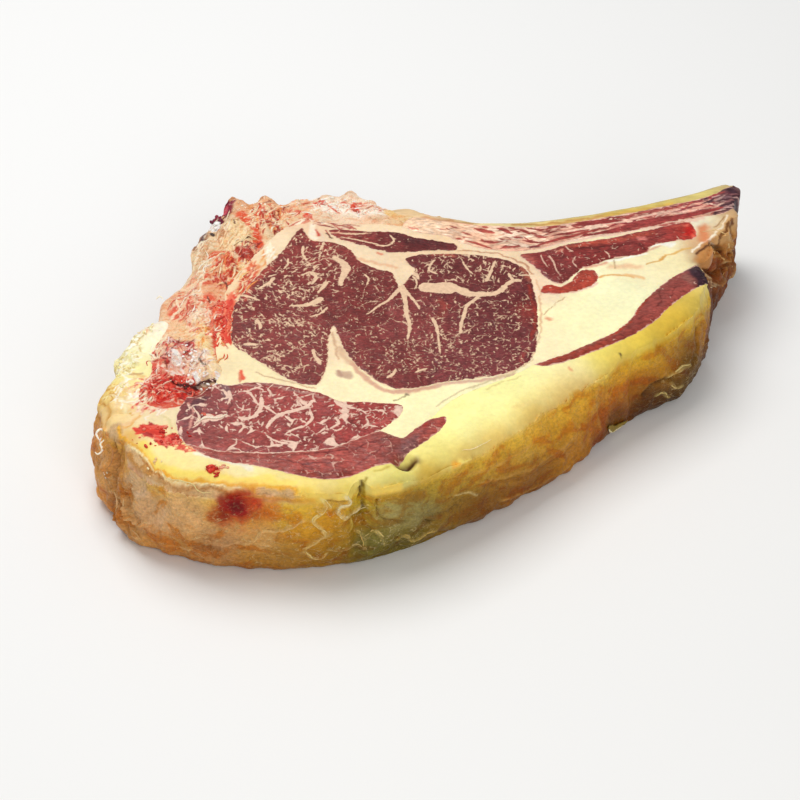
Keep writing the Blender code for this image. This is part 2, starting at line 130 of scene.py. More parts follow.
CHINE_INNER = [
    MEAT_ROOT, (-26, 81), (-42, 81), (-54, 83), (-62, 87), (-70, 80), (-77, 70), (-88, 49), (-97, 28),
    (-98, 8), (-100, -10), (-99, -24), (-96, -34), CAP_CORNER]
CHINE_LEFT = [
    CAP_SIDE, (-122, -61), (-131, -56), (-132, -46), (-128, -36), (-129, -22), (-125, -9), (-123, 0),
    LEFT_EDGE]

# Closed outlines of the muscles that lie inside the fat.
EYE = [
    (-93, 13), (-88, 28), (-79, 46), (-71, 60), (-66, 74), (-63, 79), (-61, 73), (-57, 67), (-48, 66),
    (-40, 61), (-34, 50), (-26, 44), (-19, 41), (-15, 30), (-12, 35), (-8, 43), (-13, 51), (-7, 55),
    (2, 56), (14, 56), (31, 53), (44, 45), (49, 24), (49, -4), (46, -24), (36, -35), (18, -40), (3, -43),
    (-8, -47), (-18, -47), (-30, -37), (-38, -25), (-43, -11), (-46, -2), (-48, -12), (-48, -27),
    (-52, -44), (-60, -44), (-72, -35), (-85, -22), (-92, -15)]
INNER = [
    (-50, 76), (-34, 75), (-15, 74), (-9, 70), (7, 66), (13, 63), (12, 59), (3, 59), (-15, 57),
    (-24, 58.5), (-33, 62.5), (-45, 68.5)]
RIB_LEAN = [
    (43, 55), (52, 57.4), (60, 60.4), (66, 63.4), (85, 69), (108, 76.6), (120, 80.8), (127, 82),
    (130, 76), (129, 69), (117, 66), (108, 63), (104, 57), (86, 51.5), (79, 47), (73, 44.5), (69, 40),
    (65, 34.6), (61, 31.5), (55, 36), (49, 46)]
TAIL_LEAN = [
    (52, 25), (53, 29.8), (57, 31), (61, 29.4), (65.5, 32.8), (72, 42.4), (78.4, 42), (79, 33.6),
    (66.5, 25)]

# The side below each outer curve: how rough it is, how far it bulges at half
# height, how far the foot is tucked in, and the most that it may be cut back.
SIDES = {
    "rib_back": (0.3, 5.0, 1.5, 1.5), "rib_end": (1.0, 0.5, 1.0, 3.0),
    "fat_end": (1.5, 1.0, 1.5, 3.5), "flank_end": (0.8, 0.5, 1.5, 3.0),
    "fat_front": (1.3, 1.6, 2.5, 4.5), "chine_side": (1.3, 1.0, 2.0, 4.5)}
# Hollows in the cut face: x, y, radius and depth.
PITS = [(-13, -97.5, 6.5, 6.0), (-106, -48, 8.0, 3.0), (-115, -32, 8.0, 3.0), (-100, 0, 7.0, 2.5)]
# Upright folds and grooves in the side: x, y, half width, depth, lowest height.
FOLDS = [
    (-32, -114, 4.5, 4.5, 6.0), (-141, -82, 4.5, 3.5, 0.0), (96, -14, 6.0, 4.0, 0.0),
    (137, 66, 4.0, 2.5, 0.0), (150, 84, 4.0, 2.0, 0.0), (-147, -36, 4.0, 3.0, 0.0)]
# Swellings in the side: x, y, half width, height out, level.
SWELLINGS = [
    (-12, -107, 18.0, 2.5, 22.0), (116, 5, 14.0, 3.0, 14.0), (-60, -116, 20.0, 1.5, 20.0),
    (-104, -112, 14.0, 2.0, 28.0), (-150, -62, 12.0, 2.0, 24.0), (60, -47, 22.0, 2.0, 24.0)]

# Folds and creases of the skin: height out, half width, colour, how strong the colour is, then the
# points that each one follows on the side. The dark browns of the creases that are cut in, with a
# height below 0, are painted shade in them.
SIDE_LINES = [
    (-3.0, 1.6, "5a2c12", 0.9, (139, 66, 45), (143, 72, 38), (145.5, 74, 28), (147, 77, 16)),
    (-2.6, 1.5, "6a3818", 0.8, (148, 82, 44), (150.5, 84, 34), (150.5, 84, 22), (149, 82, 8)),
    (-0.4, 2.2, "eaa92c", 0.75, (-127.5, -97, 41), (-120, -102, 43), (-112, -104, 44.5),
     (-95, -111, 44.5), (-80, -115, 43), (-62, -117, 42.5), (-52, -116.5, 42)),
    (0.5, 0.8, "fff0c0", 0.8, (-125, -98, 38.5), (-118, -103.5, 41), (-108, -108, 41),
     (-98, -112, 40.5)),
    (1.5, 0.9, "f6e9b4", 0.9, (-49, -116, 43), (-46.4, -116, 40), (-48.6, -118, 36.5), (-52.5, -119, 33),
     (-49.6, -118.6, 28), (-47, -118, 24.4)),
    (1.0, 0.8, "f2e2a8", 0.7, (-46.4, -116, 40), (-44.5, -117, 38.4)),
    (1.3, 1.7, "d9b878", 0.75, (-45.8, -118, 23.7), (-49.7, -119, 22), (-54, -120, 19.5),
     (-57, -120, 16.6)),
    (1.2, 0.9, "ead49a", 0.8, (-57, -120, 16.6), (-53.5, -118, 10), (-51, -118, 9.5),
     (-47.3, -118, 12.4)),
    (1.4, 1.3, "f4ecd0", 0.9, (-38.5, -115, 44), (-36.2, -114, 38), (-40.4, -117, 39),
     (-41.7, -117.5, 36.3)),
    (1.4, 1.1, "f2e8c4", 0.9, (-41.7, -117.5, 36.3), (-38.8, -116, 31.7), (-34.6, -112, 31),
     (-30.2, -111, 33)),
    (1.2, 0.9, "c9b884", 0.8, (-45.6, -118, 15), (-41, -116, 12.7), (-37, -114, 12.6), (-34, -113, 13),
     (-31, -113, 11.2)),
    (0.8, 1.4, "e4bd84", 0.7, (-83, -118, 18), (-78, -118, 20.7), (-74.7, -119, 26.9), (-69, -118.5, 26),
     (-62.5, -119, 29), (-56.8, -120, 33.4)),
    (0.9, 0.8, "d6bc62", 0.7, (-36.7, -114, 30.8), (-36, -114, 25.4), (-36.7, -115, 23.7)),
    (1.3, 0.9, "dcc680", 0.8, (-34.6, -112, 21.5), (-32, -111.5, 18.5), (-30.8, -112, 14.7),
     (-31.3, -112.7, 10.7)),
    (1.3, 0.9, "e2ce8e", 0.8, (-30.8, -112, 16), (-28, -112, 19.4), (-26, -112.6, 21.3),
     (-23.7, -112, 18.2), (-22, -109, 9.2)),
    (-1.4, 1.0, "6a4c12", 0.6, (-25.4, -112, 38.4), (-25, -112.5, 34), (-24, -112, 28.7),
     (-21.5, -112, 26.4), (-17, -111, 24.4), (-12.8, -108, 21.4)),
    (1.2, 0.9, "cdb36a", 0.8, (-16.3, -107, 10.6), (-14, -107, 13.3), (-11.5, -106, 11.4),
     (-10, -106, 8.7), (-6, -103, 7.6), (-1.7, -100, 8.5), (1, -98.4, 8.3)),
    (-2.6, 1.0, "3e1c08", 0.95, (-31.4, -109.6, 47), (-32.3, -110, 42), (-32.3, -110, 37.6),
     (-30.6, -111, 35), (-30.6, -110.6, 32.4), (-33.3, -110.5, 29), (-36.3, -113.4, 30.3)),
    (-1.2, 0.7, "7a4a08", 0.7, (-46, -116, 41.6), (-41.6, -116.4, 41), (-37.4, -115.2, 40.6)),
    (-1.6, 1.0, "2e2418", 0.8, (-4.4, -102.7, 17.6), (-0.8, -100, 14.6)),
    (-1.0, 1.2, "6e5a34", 0.6, (-10.6, -108, 25.5), (-4, -104, 21.8), (2.7, -99, 18.5), (12, -93, 17)),
    (0.9, 0.7, "f4e6b4", 0.8, (-119, -100, 45), (-116, -104, 43.8), (-110, -106.3, 44.2),
     (-104.8, -108.5, 44.4), (-101, -111.5, 42.5), (-96, -112.6, 43.5)),
    (-3.1, 1.5, "6a2410", 0.85, (-142, -76, 40), (-141, -78, 35), (-142.5, -79, 27), (-141.8, -82, 20),
     (-140, -90, 18.6), (-138, -94, 13.6), (-136, -97, 8)),
    (1.9, 1.0, "ecc79c", 0.8, (-143, -81, 16.8), (-141, -88, 14), (-141, -90, 8)),
    (2.2, 1.0, "e8c8a0", 0.8, (-137.6, -93.4, 24), (-137, -94, 15.7), (-134.8, -96.5, 13.8),
     (-129.8, -101, 15), (-124.8, -106, 19)),
    (1.7, 1.0, "dcb488", 0.7, (-136, -96, 11), (-133.7, -98.5, 8.3), (-130, -102.4, 7),
     (-127, -103.5, 4)),
    (2.0, 1.0, "c89468", 0.8, (-147.4, -73.6, 33.8), (-144, -74.5, 37.5), (-142.5, -77, 35.7),
     (-143.7, -77.6, 30), (-146.3, -76.6, 27)),
    (2.4, 1.3, "f2e8dc", 0.9, (-147.3, -76, 26), (-145, -78.3, 22.6)),
    (0.7, 1.0, "ddb890", 0.6, (-124.6, -106, 9), (-116, -110, 10), (-107, -114, 11),
     (-100.6, -115, 9.7)),
    (-0.8, 2.2, "7c3c16", 0.7, (-105, -114.4, 12.3), (-98.3, -114, 12.6), (-92.7, -117, 14.9)),
    (0.9, 1.0, "dcae84", 0.7, (-100, -114, 16.8), (-95.7, -116.3, 17), (-91.4, -117, 16.5),
     (-84.6, -118, 20)),
    (0.9, 0.7, "fff2cc", 0.95, (12, -87.4, 45.4), (18, -85, 44.6), (21.5, -82, 44.8), (25, -79, 44.5)),
    (-0.7, 0.9, "b06414", 0.7, (12, -88.5, 43.6), (18, -86, 43), (22, -83, 43)),
    (0.5, 1.8, "d09a4e", 0.5, (7, -95, 38), (16, -89, 33.4), (29.5, -79, 31), (43.3, -67, 31.4)),
    (0.6, 1.6, "d4a452", 0.5, (20.4, -87.5, 27), (34, -76, 21), (48, -65, 19.5), (60, -55, 21),
     (67, -46, 25)),
    (-0.6, 1.4, "8c5410", 0.5, (24, -84, 22), (40, -72, 16), (54, -60, 15), (64, -50, 18)),
    (0.7, 1.2, "caa05e", 0.6, (30, -79.6, 9.4), (44, -65, 4), (60, -49, 6)),
    (0.6, 1.2, "d6b26a", 0.6, (76.4, -34, 39), (74.3, -37, 32.7), (75.8, -36, 22.7), (77.6, -36, 14)),
    (0.6, 0.8, "e6d8ac", 0.7, (9.3, -94, 25.2), (16, -89, 22.6), (19.3, -87.4, 19.3)),
    (1.5, 1.2, "e0cf98", 0.8, (111, -6.2, 20.7), (114.8, -2.5, 21.4), (118.2, 0, 22.4),
     (122.3, 2.5, 21.6)),
    (1.2, 1.0, "dccb94", 0.7, (113, -4.3, 16), (115.8, -3.6, 12.6), (119, -1, 12.3)),
    (1.0, 1.0, "d8c88c", 0.7, (105.4, -8.6, 12.3), (108.8, -7, 12.8), (112.2, -4.6, 7.8)),
    (-2.0, 2.0, "3e2806", 0.7, (100.3, -11.6, 14.8), (104.8, -10.5, 20), (109.7, -7.6, 20.6),
     (113.4, -4, 19)),
    (-1.2, 2.0, "6a4206", 0.6, (122.3, 0.6, 18.9), (125, 6.8, 21.2), (126.7, 12.3, 26),
     (125.8, 14.5, 33.3)),
    (0.8, 1.0, "e0b848", 0.6, (106, -6.7, 37.9), (110, -3.3, 40), (115, 1.5, 40.4)),
    (0.9, 1.0, "cfa850", 0.6, (121.8, 18.7, 46), (127, 18, 42.5), (130.4, 20.6, 31.5),
     (130.2, 19.4, 20.4)),
    (2.7, 1.0, "f0d4a8", 0.8, (132.8, 74, 47), (139.4, 75.7, 47), (144.3, 74.4, 46.4), (147, 75.7, 38.8),
     (147.8, 79, 31), (144, 73, 30.6)),
    (2.4, 1.0, "e8bc84", 0.8, (137.4, 69.4, 46), (136.5, 62, 46), (140.3, 71, 37.3), (144.3, 73, 32.4),
     (146.8, 79.7, 23), (145.7, 76, 19.6), (141.5, 69.5, 20.2)),
    (2.5, 0.9, "f2dcc0", 0.85, (130, 46, 46), (133, 51, 38), (136.4, 55.5, 29.3), (141, 69, 19.9)),
    (2.0, 1.0, "eccfa8", 0.7, (147.4, 76.6, 41), (150.3, 87, 26.5), (151, 88, 10)),
    (-3.0, 1.6, "4a2410", 0.9, (131.8, 49, 43), (136, 60, 34), (139, 69.4, 25.2), (142.3, 72.3, 26))]

# Fat veins that stand out in the lean: width at the start and end, then points.
VEINS = [
    (3.2, 1.4, (-15, 32), (-13.5, 25), (-12.5, 17), (-12, 8), (-10.5, -1), (-11.5, -12)),
    (2.4, 0.9, (-15, 28), (-20, 19), (-25, 14), (-28, 10), (-31, 7)),
    (2.4, 1.0, (-14, 29), (-10, 21), (-7, 15), (-5.5, 11)),
    (7.0, 9.0, (-4, 29), (1, 28), (6, 28), (10, 28)),
    (5.0, 3.2, (9, 29), (14, 26), (18, 23.5), (23, 23), (29, 23)),
    (3.4, 2.2, (29, 23), (33, 26), (36, 31), (40, 34), (43, 33)),
    (2.2, 1.6, (23, 22.5), (19.5, 18), (16.5, 14), (15, 7), (13.5, 0), (13, -7)),
    (2.2, 0.7, (0, 5), (1.5, 0), (2.5, -7), (3, -15), (3.5, -23)),
    (3.0, 4.4, (-47, 53), (-43, 49), (-41, 45), (-41, 41)),
    (4.2, 2.0, (-41, 42), (-42, 38), (-43, 34), (-43, 30)), (1.4, 3.0, (-54, 24), (-51, 30), (-50, 33)),
    (1.2, 4.2, (-67, 14), (-61, 14), (-56, 16), (-52, 20)), (1.6, 1.0, (-49, 13), (-52, 8), (-57, 5)),
    (1.0, 2.4, (-83, 27), (-79, 30), (-77, 32), (-75, 36)), (2.2, 1.2, (-91, 23), (-86, 21), (-81, 18)),
    (2.6, 1.6, (-82, 3), (-80, -1), (-80, -4)), (2.6, 1.0, (-87, -15), (-84, -15), (-80, -16)),
    (1.6, 2.2, (-55, -19), (-54, -24), (-51, -30)), (1.2, 1.8, (-17, -33), (-18, -37), (-21, -40)),
    (1.6, 1.0, (-8, -36), (-5, -34), (-2, -33)), (1.2, 1.4, (2, 51), (0, 47), (-1, 42), (3, 39)),
    (1.2, 1.8, (31, 50), (29, 43), (27, 36), (26, 33)), (1.2, 0.9, (15, 50), (17, 44), (20, 39)),
    (1.8, 1.2, (37, 40), (38, 36), (40, 33)), (1.4, 1.0, (42, 38), (46, 38), (48, 37)),
    (2.0, 1.4, (-58, 41), (-55, 37), (-57, 31)), (1.3, 0.9, (-62, 38), (-58, 41), (-53, 39)),
    (1.8, 1.2, (-62, 62), (-62, 56), (-60, 50)), (1.4, 1.1, (-52, 66), (-53, 61), (-54, 58)),
    (1.2, 1.0, (-69, 52), (-69, 47), (-71, 43)), (1.3, 1.0, (-32, 39), (-30, 35), (-31, 30)),
    (1.3, 0.8, (-9, 38), (-7, 33), (-8, 27)), (2.6, 1.6, (-10, 41), (-7, 38), (-6, 35)),
    (3.0, 1.6, (-44, -56), (-40, -61), (-38, -65)),
    (1.6, 2.8, (-54, -56), (-56, -60), (-61, -63), (-66, -65)),
    (2.6, 1.8, (-66, -65), (-71, -69), (-74, -75)), (1.8, 2.2, (-77, -54), (-77, -61), (-79, -66)),
    (2.4, 1.6, (-78, -66), (-83, -69), (-87, -68)), (1.8, 1.4, (-55, -64), (-54, -69), (-57, -74)),
    (1.6, 1.1, (-57, -74), (-63, -77), (-66, -80)), (1.4, 1.2, (-44, -68), (-42, -72), (-46, -76)),
    (1.2, 1.0, (-30, -69), (-29, -72), (-32, -75)), (1.6, 1.0, (-92, -49), (-91, -54), (-92, -59)),
    (3.0, 4.2, (-101, -66), (-97, -69), (-94, -67)), (1.4, 1.0, (-104, -68), (-104, -72), (-107, -76)),
    (1.2, 1.4, (-88, -71), (-84, -74), (-86, -79)), (1.0, 1.6, (-74, -80), (-70, -84), (-64, -86)),
    (1.0, 1.2, (-46, -93), (-44, -95), (-45, -97)), (1.2, 1.4, (-55, -94), (-53, -96), (-51, -96)),
    (1.0, 1.6, (-20, 72), (-18, 67), (-21, 63), (-27, 63)), (1.1, 1.0, (-45, 73), (-37, 72), (-31, 73)),
    (0.9, 1.2, (-44, 70), (-34, 66.5), (-25, 63.5)), (0.9, 0.7, (70, 44), (68, 48), (70, 53)),
    (1.2, 0.8, (57, 54), (59, 48), (60, 42), (62, 37)), (1.0, 0.8, (84, 58), (86, 54), (86, 52)),
    (0.8, 1.2, (65, 62), (67, 58), (69, 57)), (1.0, 0.7, (53, 55), (54, 49), (56, 44))]
# Where the lean is flecked: x, y, half sizes, how many, shortest and longest,
# thinnest and thickest, heading in degrees and how much it strays.
MARBLING = [
    (-66, 50, 21, 30, 250, 1.5, 4.5, 0.5, 1.2, 78, 22),
    (-52, 44, 12, 20, 90, 1.5, 4.0, 0.5, 1.0, 72, 24),
    (-72, 14, 22, 17, 230, 1.2, 3.4, 0.5, 1.1, 128, 30),
    (-68, -18, 24, 22, 330, 1.2, 3.6, 0.5, 1.0, 122, 24),
    (-32, 18, 15, 30, 170, 0.7, 2.2, 0.4, 0.8, 90, 40),
    (-24, -22, 18, 20, 130, 0.8, 2.6, 0.4, 0.9, 100, 40),
    (18, 43, 30, 13, 170, 1.5, 5.0, 0.5, 1.0, 92, 20), (30, 10, 18, 18, 170, 0.8, 2.8, 0.4, 0.9, 75, 40),
    (2, 0, 16, 22, 120, 1.0, 3.4, 0.4, 1.0, 85, 26), (14, -24, 36, 19, 430, 0.6, 2.0, 0.4, 0.9, 60, 60),
    (-90, -62, 20, 18, 110, 1.0, 3.0, 0.5, 1.2, 105, 30),
    (-62, -68, 26, 22, 190, 1.0, 3.4, 0.5, 1.2, 60, 45),
    (-32, -66, 18, 12, 110, 1.0, 3.0, 0.5, 1.0, 50, 45),
    (-55, -98, 44, 9, 70, 0.8, 2.6, 0.4, 0.9, 20, 50),
    (-10, -82, 14, 12, 24, 0.8, 2.0, 0.4, 0.8, 50, 40),
    (100, 12, 36, 32, 70, 0.8, 2.2, 0.4, 0.8, 48, 40), (66, 46, 18, 16, 70, 1.2, 3.6, 0.4, 0.8, 95, 24),
    (100, 66, 30, 12, 60, 1.0, 3.0, 0.4, 0.8, 20, 40), (-30, 68, 22, 8, 40, 0.8, 2.6, 0.4, 0.8, 165, 30),
    (66, 32, 12, 8, 16, 0.8, 2.0, 0.4, 0.8, 60, 40)]

# Colours as six-digit codes, as they look in the light of the scene. A tint is x, y,
# level, reach and colour. A coat is its colour, its width, how soft its edge is, and
# the points that it follows.
CHINE_TINTS = [
    (-115, 60, 48, 14, "ead2b0"), (-98, 70, 48, 10, "f0d4ae"), (-85, 95, 48, 9, "eabd98"),
    (-70, 92, 48, 9, "eec49c"), (-55, 98, 48, 10, "f2dcc4"), (-35, 96, 48, 11, "f6e6d6"),
    (-14, 92, 48, 8, "e8c894"), (-118, 25, 48, 10, "eebf9c"), (-104, 35, 48, 8, "e8a47c"),
    (-118, -2, 48, 9, "f0c8a4"), (-108, -5, 48, 7, "f4d2a0"), (-112, -30, 48, 9, "ecc4ac"),
    (-122, -45, 48, 9, "d8604a"), (-100, -35, 48, 6, "f2dcb2"), (-30, 84, 48, 8, "edc4a4"),
    (-112, 75, 20, 16, "a4715a"), (-118, 40, 20, 16, "b98a64"), (-55, 108, 20, 20, "c89a74"),
    (-85, 104, 20, 14, "a8604a"), (-26, 100, 20, 12, "c9a070"), (-126, 15, 20, 12, "c99b72")]
CHINE_COATS = [
    ("e6cfae", 5.0, 0.8, (-99, 85), (-105, 72), (-111, 58), (-116, 43), (-120, 31)),
    ("f3d9b2", 15.0, 2.0, (-94, 74), (-93, 66)), ("de6a45", 7.0, 1.2, (-107, 53), (-103, 56), (-99, 53)),
    ("b1442e", 5.0, 1.0, (-94, 57), (-90, 54), (-87, 49)),
    ("c4482f", 4.5, 1.2, (-96, 48), (-94, 40), (-91, 33)), ("dd6c50", 7.0, 1.4, (-109, 40), (-108, 33)),
    ("dd5a38", 5.0, 1.0, (-86, 76), (-85, 67), (-82, 60)), ("e8864e", 4.0, 1.4, (-84, 50), (-80, 46)),
    ("e0603c", 5.5, 1.2, (-94, 89), (-91, 84), (-89, 80)), ("a43c30", 5.0, 1.3, (-80, 80), (-76, 77)),
    ("d06a4a", 5.0, 1.5, (-77, 95), (-72, 90)), ("dfa070", 7.0, 2.0, (-92, 103), (-88, 96)),
    ("faf2ea", 9.0, 2.0, (-50, 95), (-43, 94), (-36, 91)),
    ("faf2ea", 7.0, 2.0, (-30, 90), (-24, 90), (-20, 93)), ("e6c286", 8.0, 1.5, (-20, 92), (-14, 92)),
    ("a87c62", 5.0, 1.2, (-111, 72), (-113, 64), (-113, 60)),
    ("df5342", 9.0, 1.2, (-99, 14), (-99, 2), (-98, -9), (-95, -21)),
    ("e2684c", 7.0, 1.4, (-120, 8), (-113, 14), (-106, 20)), ("f3dcbc", 4.0, 1.0, (-117, 6), (-111, 4)),
    ("dc6656", 4.0, 1.0, (-127, -8), (-127, -20), (-126, -32)),
    ("8a2a2c", 5.0, 1.0, (-118, -14), (-113, -17)), ("d24438", 10.0, 1.4, (-129, -46), (-122, -48)),
    ("cb3428", 8.0, 1.2, (-126, -55), (-117, -53), (-110, -51)),
    ("f3c48c", 4.0, 1.0, (-108, -2), (-104, -8)),
    ("f5dca8", 4.0, 1.0, (-107, -11), (-103, -22), (-99, -28))]
# Coats that lie over the shreds of the sawn bone. The near-black line at y about -44 is a painted
# shadow, and the thin dark browns and the near-black spot at x -107, y 74 are painted shade in
# slits and cracks.
CHINE_MARKS = [
    ("6d4028", 0.8, 0.3, (-97, 80), (-96, 77)), ("6a3c28", 0.9, 0.3, (-95, 61), (-91, 64), (-88, 67)),
    ("e24c2e", 3.2, 0.6, (-61, 88), (-59, 85)), ("d9402a", 2.8, 0.6, (-56, 101), (-54, 101)),
    ("e24c2e", 2.8, 0.6, (-38, 97), (-37, 95)), ("8c1f38", 6.0, 0.9, (-100, 98), (-102, 92), (-104, 88)),
    ("7a2038", 5.0, 0.9, (-107, 86), (-110, 82)), ("c94a5a", 1.8, 0.5, (-101, 96), (-103, 91)),
    ("f2efea", 4.6, 0.6, (-107, 82), (-105, 79)), ("2c120e", 2.4, 0.5, (-107, 74.5), (-107, 73)),
    ("5b3a3c", 2.0, 0.7, (-110, 76), (-112, 69)), ("6a2a1c", 0.8, 0.3, (-106, 22), (-105, 18)),
    ("6a2a1c", 0.9, 0.4, (-99, 33), (-97, 29)), ("f6f0ea", 3.4, 0.6, (-118, -24), (-117, -28)),
    ("503024", 0.8, 0.3, (-107, -26), (-104, -31)), ("6a4334", 0.7, 0.3, (-104, -29), (-103, -33)),
    ("f2ebe4", 3.0, 0.5, (-108, -40), (-106, -43)), ("f2ebe4", 2.2, 0.5, (-98, -38), (-97, -40)),
    ("440a08", 1.8, 0.6, (-118, -44), (-110, -46), (-103, -44), (-98, -42)),
    ("8c2420", 2.6, 1.0, (-113, -49), (-106, -49), (-101, -46))]
# Shreds: x, y and half sizes of a patch, how many, heading and how much it strays,
# shortest and longest, thinnest and thickest, then the colours they are drawn from.
CHINE_SHREDS = [
    (-111, 49, 3.4, 21.5, 60, 72, 8, 8, 20, 0.5, 1.0, "f4e6cc", "efdcc0", "e0bf98", "cfa078", "f8eedc"),
    (-102, 79, 3.4, 13.7, 36, 72, 8, 6, 14, 0.5, 1.0, "f4e6cc", "e8cfae", "d4a47c", "b98058"),
    (-95, 70, 8.3, 11.0, 60, 71, 26, 3, 9, 0.6, 1.4, "f7e6c4", "ecd0a0", "f3dab0", "d9a878"),
    (-80, 86, 9.9, 13.8, 130, 71, 22, 3, 9, 0.5, 1.3, "d8563a", "b83c2c", "8e2c28", "f0c8a0", "e8965c",
     "f6e2c0", "f4dab8"),
    (-65, 97, 7.9, 8.7, 60, 20, 30, 3, 8, 0.5, 1.2, "e8a07c", "d8604c", "f6e2cc", "f4d0ac", "fbf0e0"),
    (-52, 99, 10.9, 7.9, 60, 5, 30, 3, 8, 0.5, 1.3, "fbf6ee", "f6e8da", "e9b8a0", "d87060", "faf0e6"),
    (-34, 95, 10.9, 6.1, 50, 15, 30, 2, 7, 0.5, 1.1, "fbf6ee", "f2d6c4", "d8685a", "e8b09a"),
    (-87, 56, 6.3, 8.3, 60, 71, 24, 3, 8, 0.5, 1.2, "b23a30", "c9503c", "8c2a26", "e8a084", "a43028"),
    (-98, 42, 6.7, 14.7, 120, 71, 26, 3, 9, 0.5, 1.3, "df5c3c", "e8834f", "c8442e", "f2cfa0", "b8382a",
     "f4d8b0"),
    (-88, 38, 4.8, 11.3, 60, 71, 16, 4, 12, 0.5, 1.3, "f0c080", "e89050", "f7e0b4", "d8603a", "f6d8a8"),
    (-116, 19, 6.6, 17.4, 90, 71, 22, 3, 11, 0.5, 1.3, "f4e0c8", "f0d0b4", "e8a890", "f6e4cc", "d9604c"),
    (-106, 5, 9.3, 14.0, 140, 71, 20, 3, 12, 0.5, 1.4, "f6dcc4", "f2ccb4", "e48a70", "de6a54", "fae8d4",
     "f0c4a4"),
    (-98, -1, 5.1, 18.5, 110, 84, 24, 3, 9, 0.5, 1.3, "e04a38", "d8402e", "c03028", "ee8060", "f2b090",
     "e86a4c"),
    (-96, -22, 4.1, 6.7, 36, 70, 30, 3, 7, 0.5, 1.2, "d8502e", "c87830", "e8a060", "b8382a"),
    (-107, -9, 2.8, 9.1, 26, 80, 20, 3, 7, 0.6, 1.3, "f6e6b8", "f4dca8", "eea050"),
    (-118, -21, 9.2, 10.4, 130, 71, 60, 2, 7, 0.5, 1.2, "a02c2c", "7c2024", "c84844", "e8b0a8", "d8504c",
     "f0d8d0"),
    (-106, -31, 5.5, 10.3, 70, 70, 50, 2, 6, 0.5, 1.2, "faf0e4", "f4e4d8", "e8ccc0", "b88878"),
    (-117, -31, 3.6, 5.9, 30, 40, 50, 2, 6, 0.5, 1.2, "faf4f0", "f0e0dc", "e8b8b0"),
    (-128, -50, 5.0, 8.0, 30, 40, 30, 3, 9, 0.6, 1.4, "f8e4c8", "f4d0b4", "faf0dc"),
    (-119, -47, 12.6, 9.3, 190, 30, 40, 3, 9, 0.5, 1.4, "d83428", "cc2c22", "e8604c", "f0b8a0", "a82420",
     "e04a38", "c82c24"),
    (-128, -36, 5.4, 11.7, 70, 60, 40, 2, 8, 0.5, 1.3, "e06a58", "d84c40", "f4c8b4", "f6dccc", "c83830"),
    (-128, -16, 5.0, 12.0, 60, 70, 30, 2, 8, 0.5, 1.4, "f6e8cc", "f4dcc0", "e8b49c", "fbf2dc")]
BAND_SHREDS = [
    (-95, 3, 3.2, 20.2, 150, 84, 18, 3, 9, 0.6, 1.4, "e04a38", "d8402e", "c03028", "ee8060", "e86a4c"),
    (-87, 33, 4.4, 13.5, 100, 66, 14, 3, 10, 0.6, 1.4, "e07048", "d0503a", "f0c8a0", "f6dcb4", "b8402e",
     "f2b080"),
    (-79, 55, 3.9, 8.3, 26, 70, 14, 3, 8, 0.6, 1.4, "e89858", "f2c890", "f8e8c8", "fbf2dc"),
    (-64, 86, 7.9, 6.0, 50, 25, 24, 3, 8, 0.6, 1.3, "f4dcb8", "e09070", "c85a48", "f8e8cc", "b8503c"),
    (-50, 86, 9.9, 5.2, 44, 8, 20, 3, 8, 0.6, 1.3, "f6e4c8", "e8b498", "d08068", "fbf0dc"),
    (-46, 80, 9.8, 3.4, 34, -14, 10, 3, 10, 0.5, 1.1, "a84440", "8c3434", "f0cdb0", "b8584c"),
    (112, 81, 16, 1.6, 26, 15, 5, 4, 10, 0.6, 1.4, "b05a50", "a04a44", "dca890")]
COVER_SHREDS = [
    (-2, 78, 9, 5, 20, -25, 8, 2, 6, 0.9, 1.7, "c87c68", "e8c4a4", "f0d4b8", "ecccb0"),
    (22, 72, 16, 8, 46, -24, 8, 3, 8, 1.0, 2.0, "a84a3e", "e6bfa0", "f0d0b4", "e8c6aa", "ecccb0"),
    (45, 71, 14, 9, 62, -8, 10, 3, 9, 1.0, 2.0, "9c4038", "8e3832", "e8c4a8", "f0d2b8", "e6c0a2",
     "eccab0"),
    (70, 79, 16, 9, 80, 15, 7, 4, 14, 0.8, 1.8, "963a34", "8a342f", "e4b8a0", "eccab0", "e0ae96"),
    (98, 88, 18, 9, 120, 16, 5, 6, 22, 0.5, 1.5, "8c3634", "9c403a", "dca890", "e8c4ac", "b86458",
     "842f30"),
    (126, 96, 18, 8, 110, 19, 5, 6, 20, 0.5, 1.5, "8c3636", "7c3038", "d89c88", "e4b8a4", "a84840"),
    (146, 102, 9, 7, 40, 22, 10, 3, 9, 0.6, 1.5, "5c343c", "4a2830", "8a5a58", "c09890")]
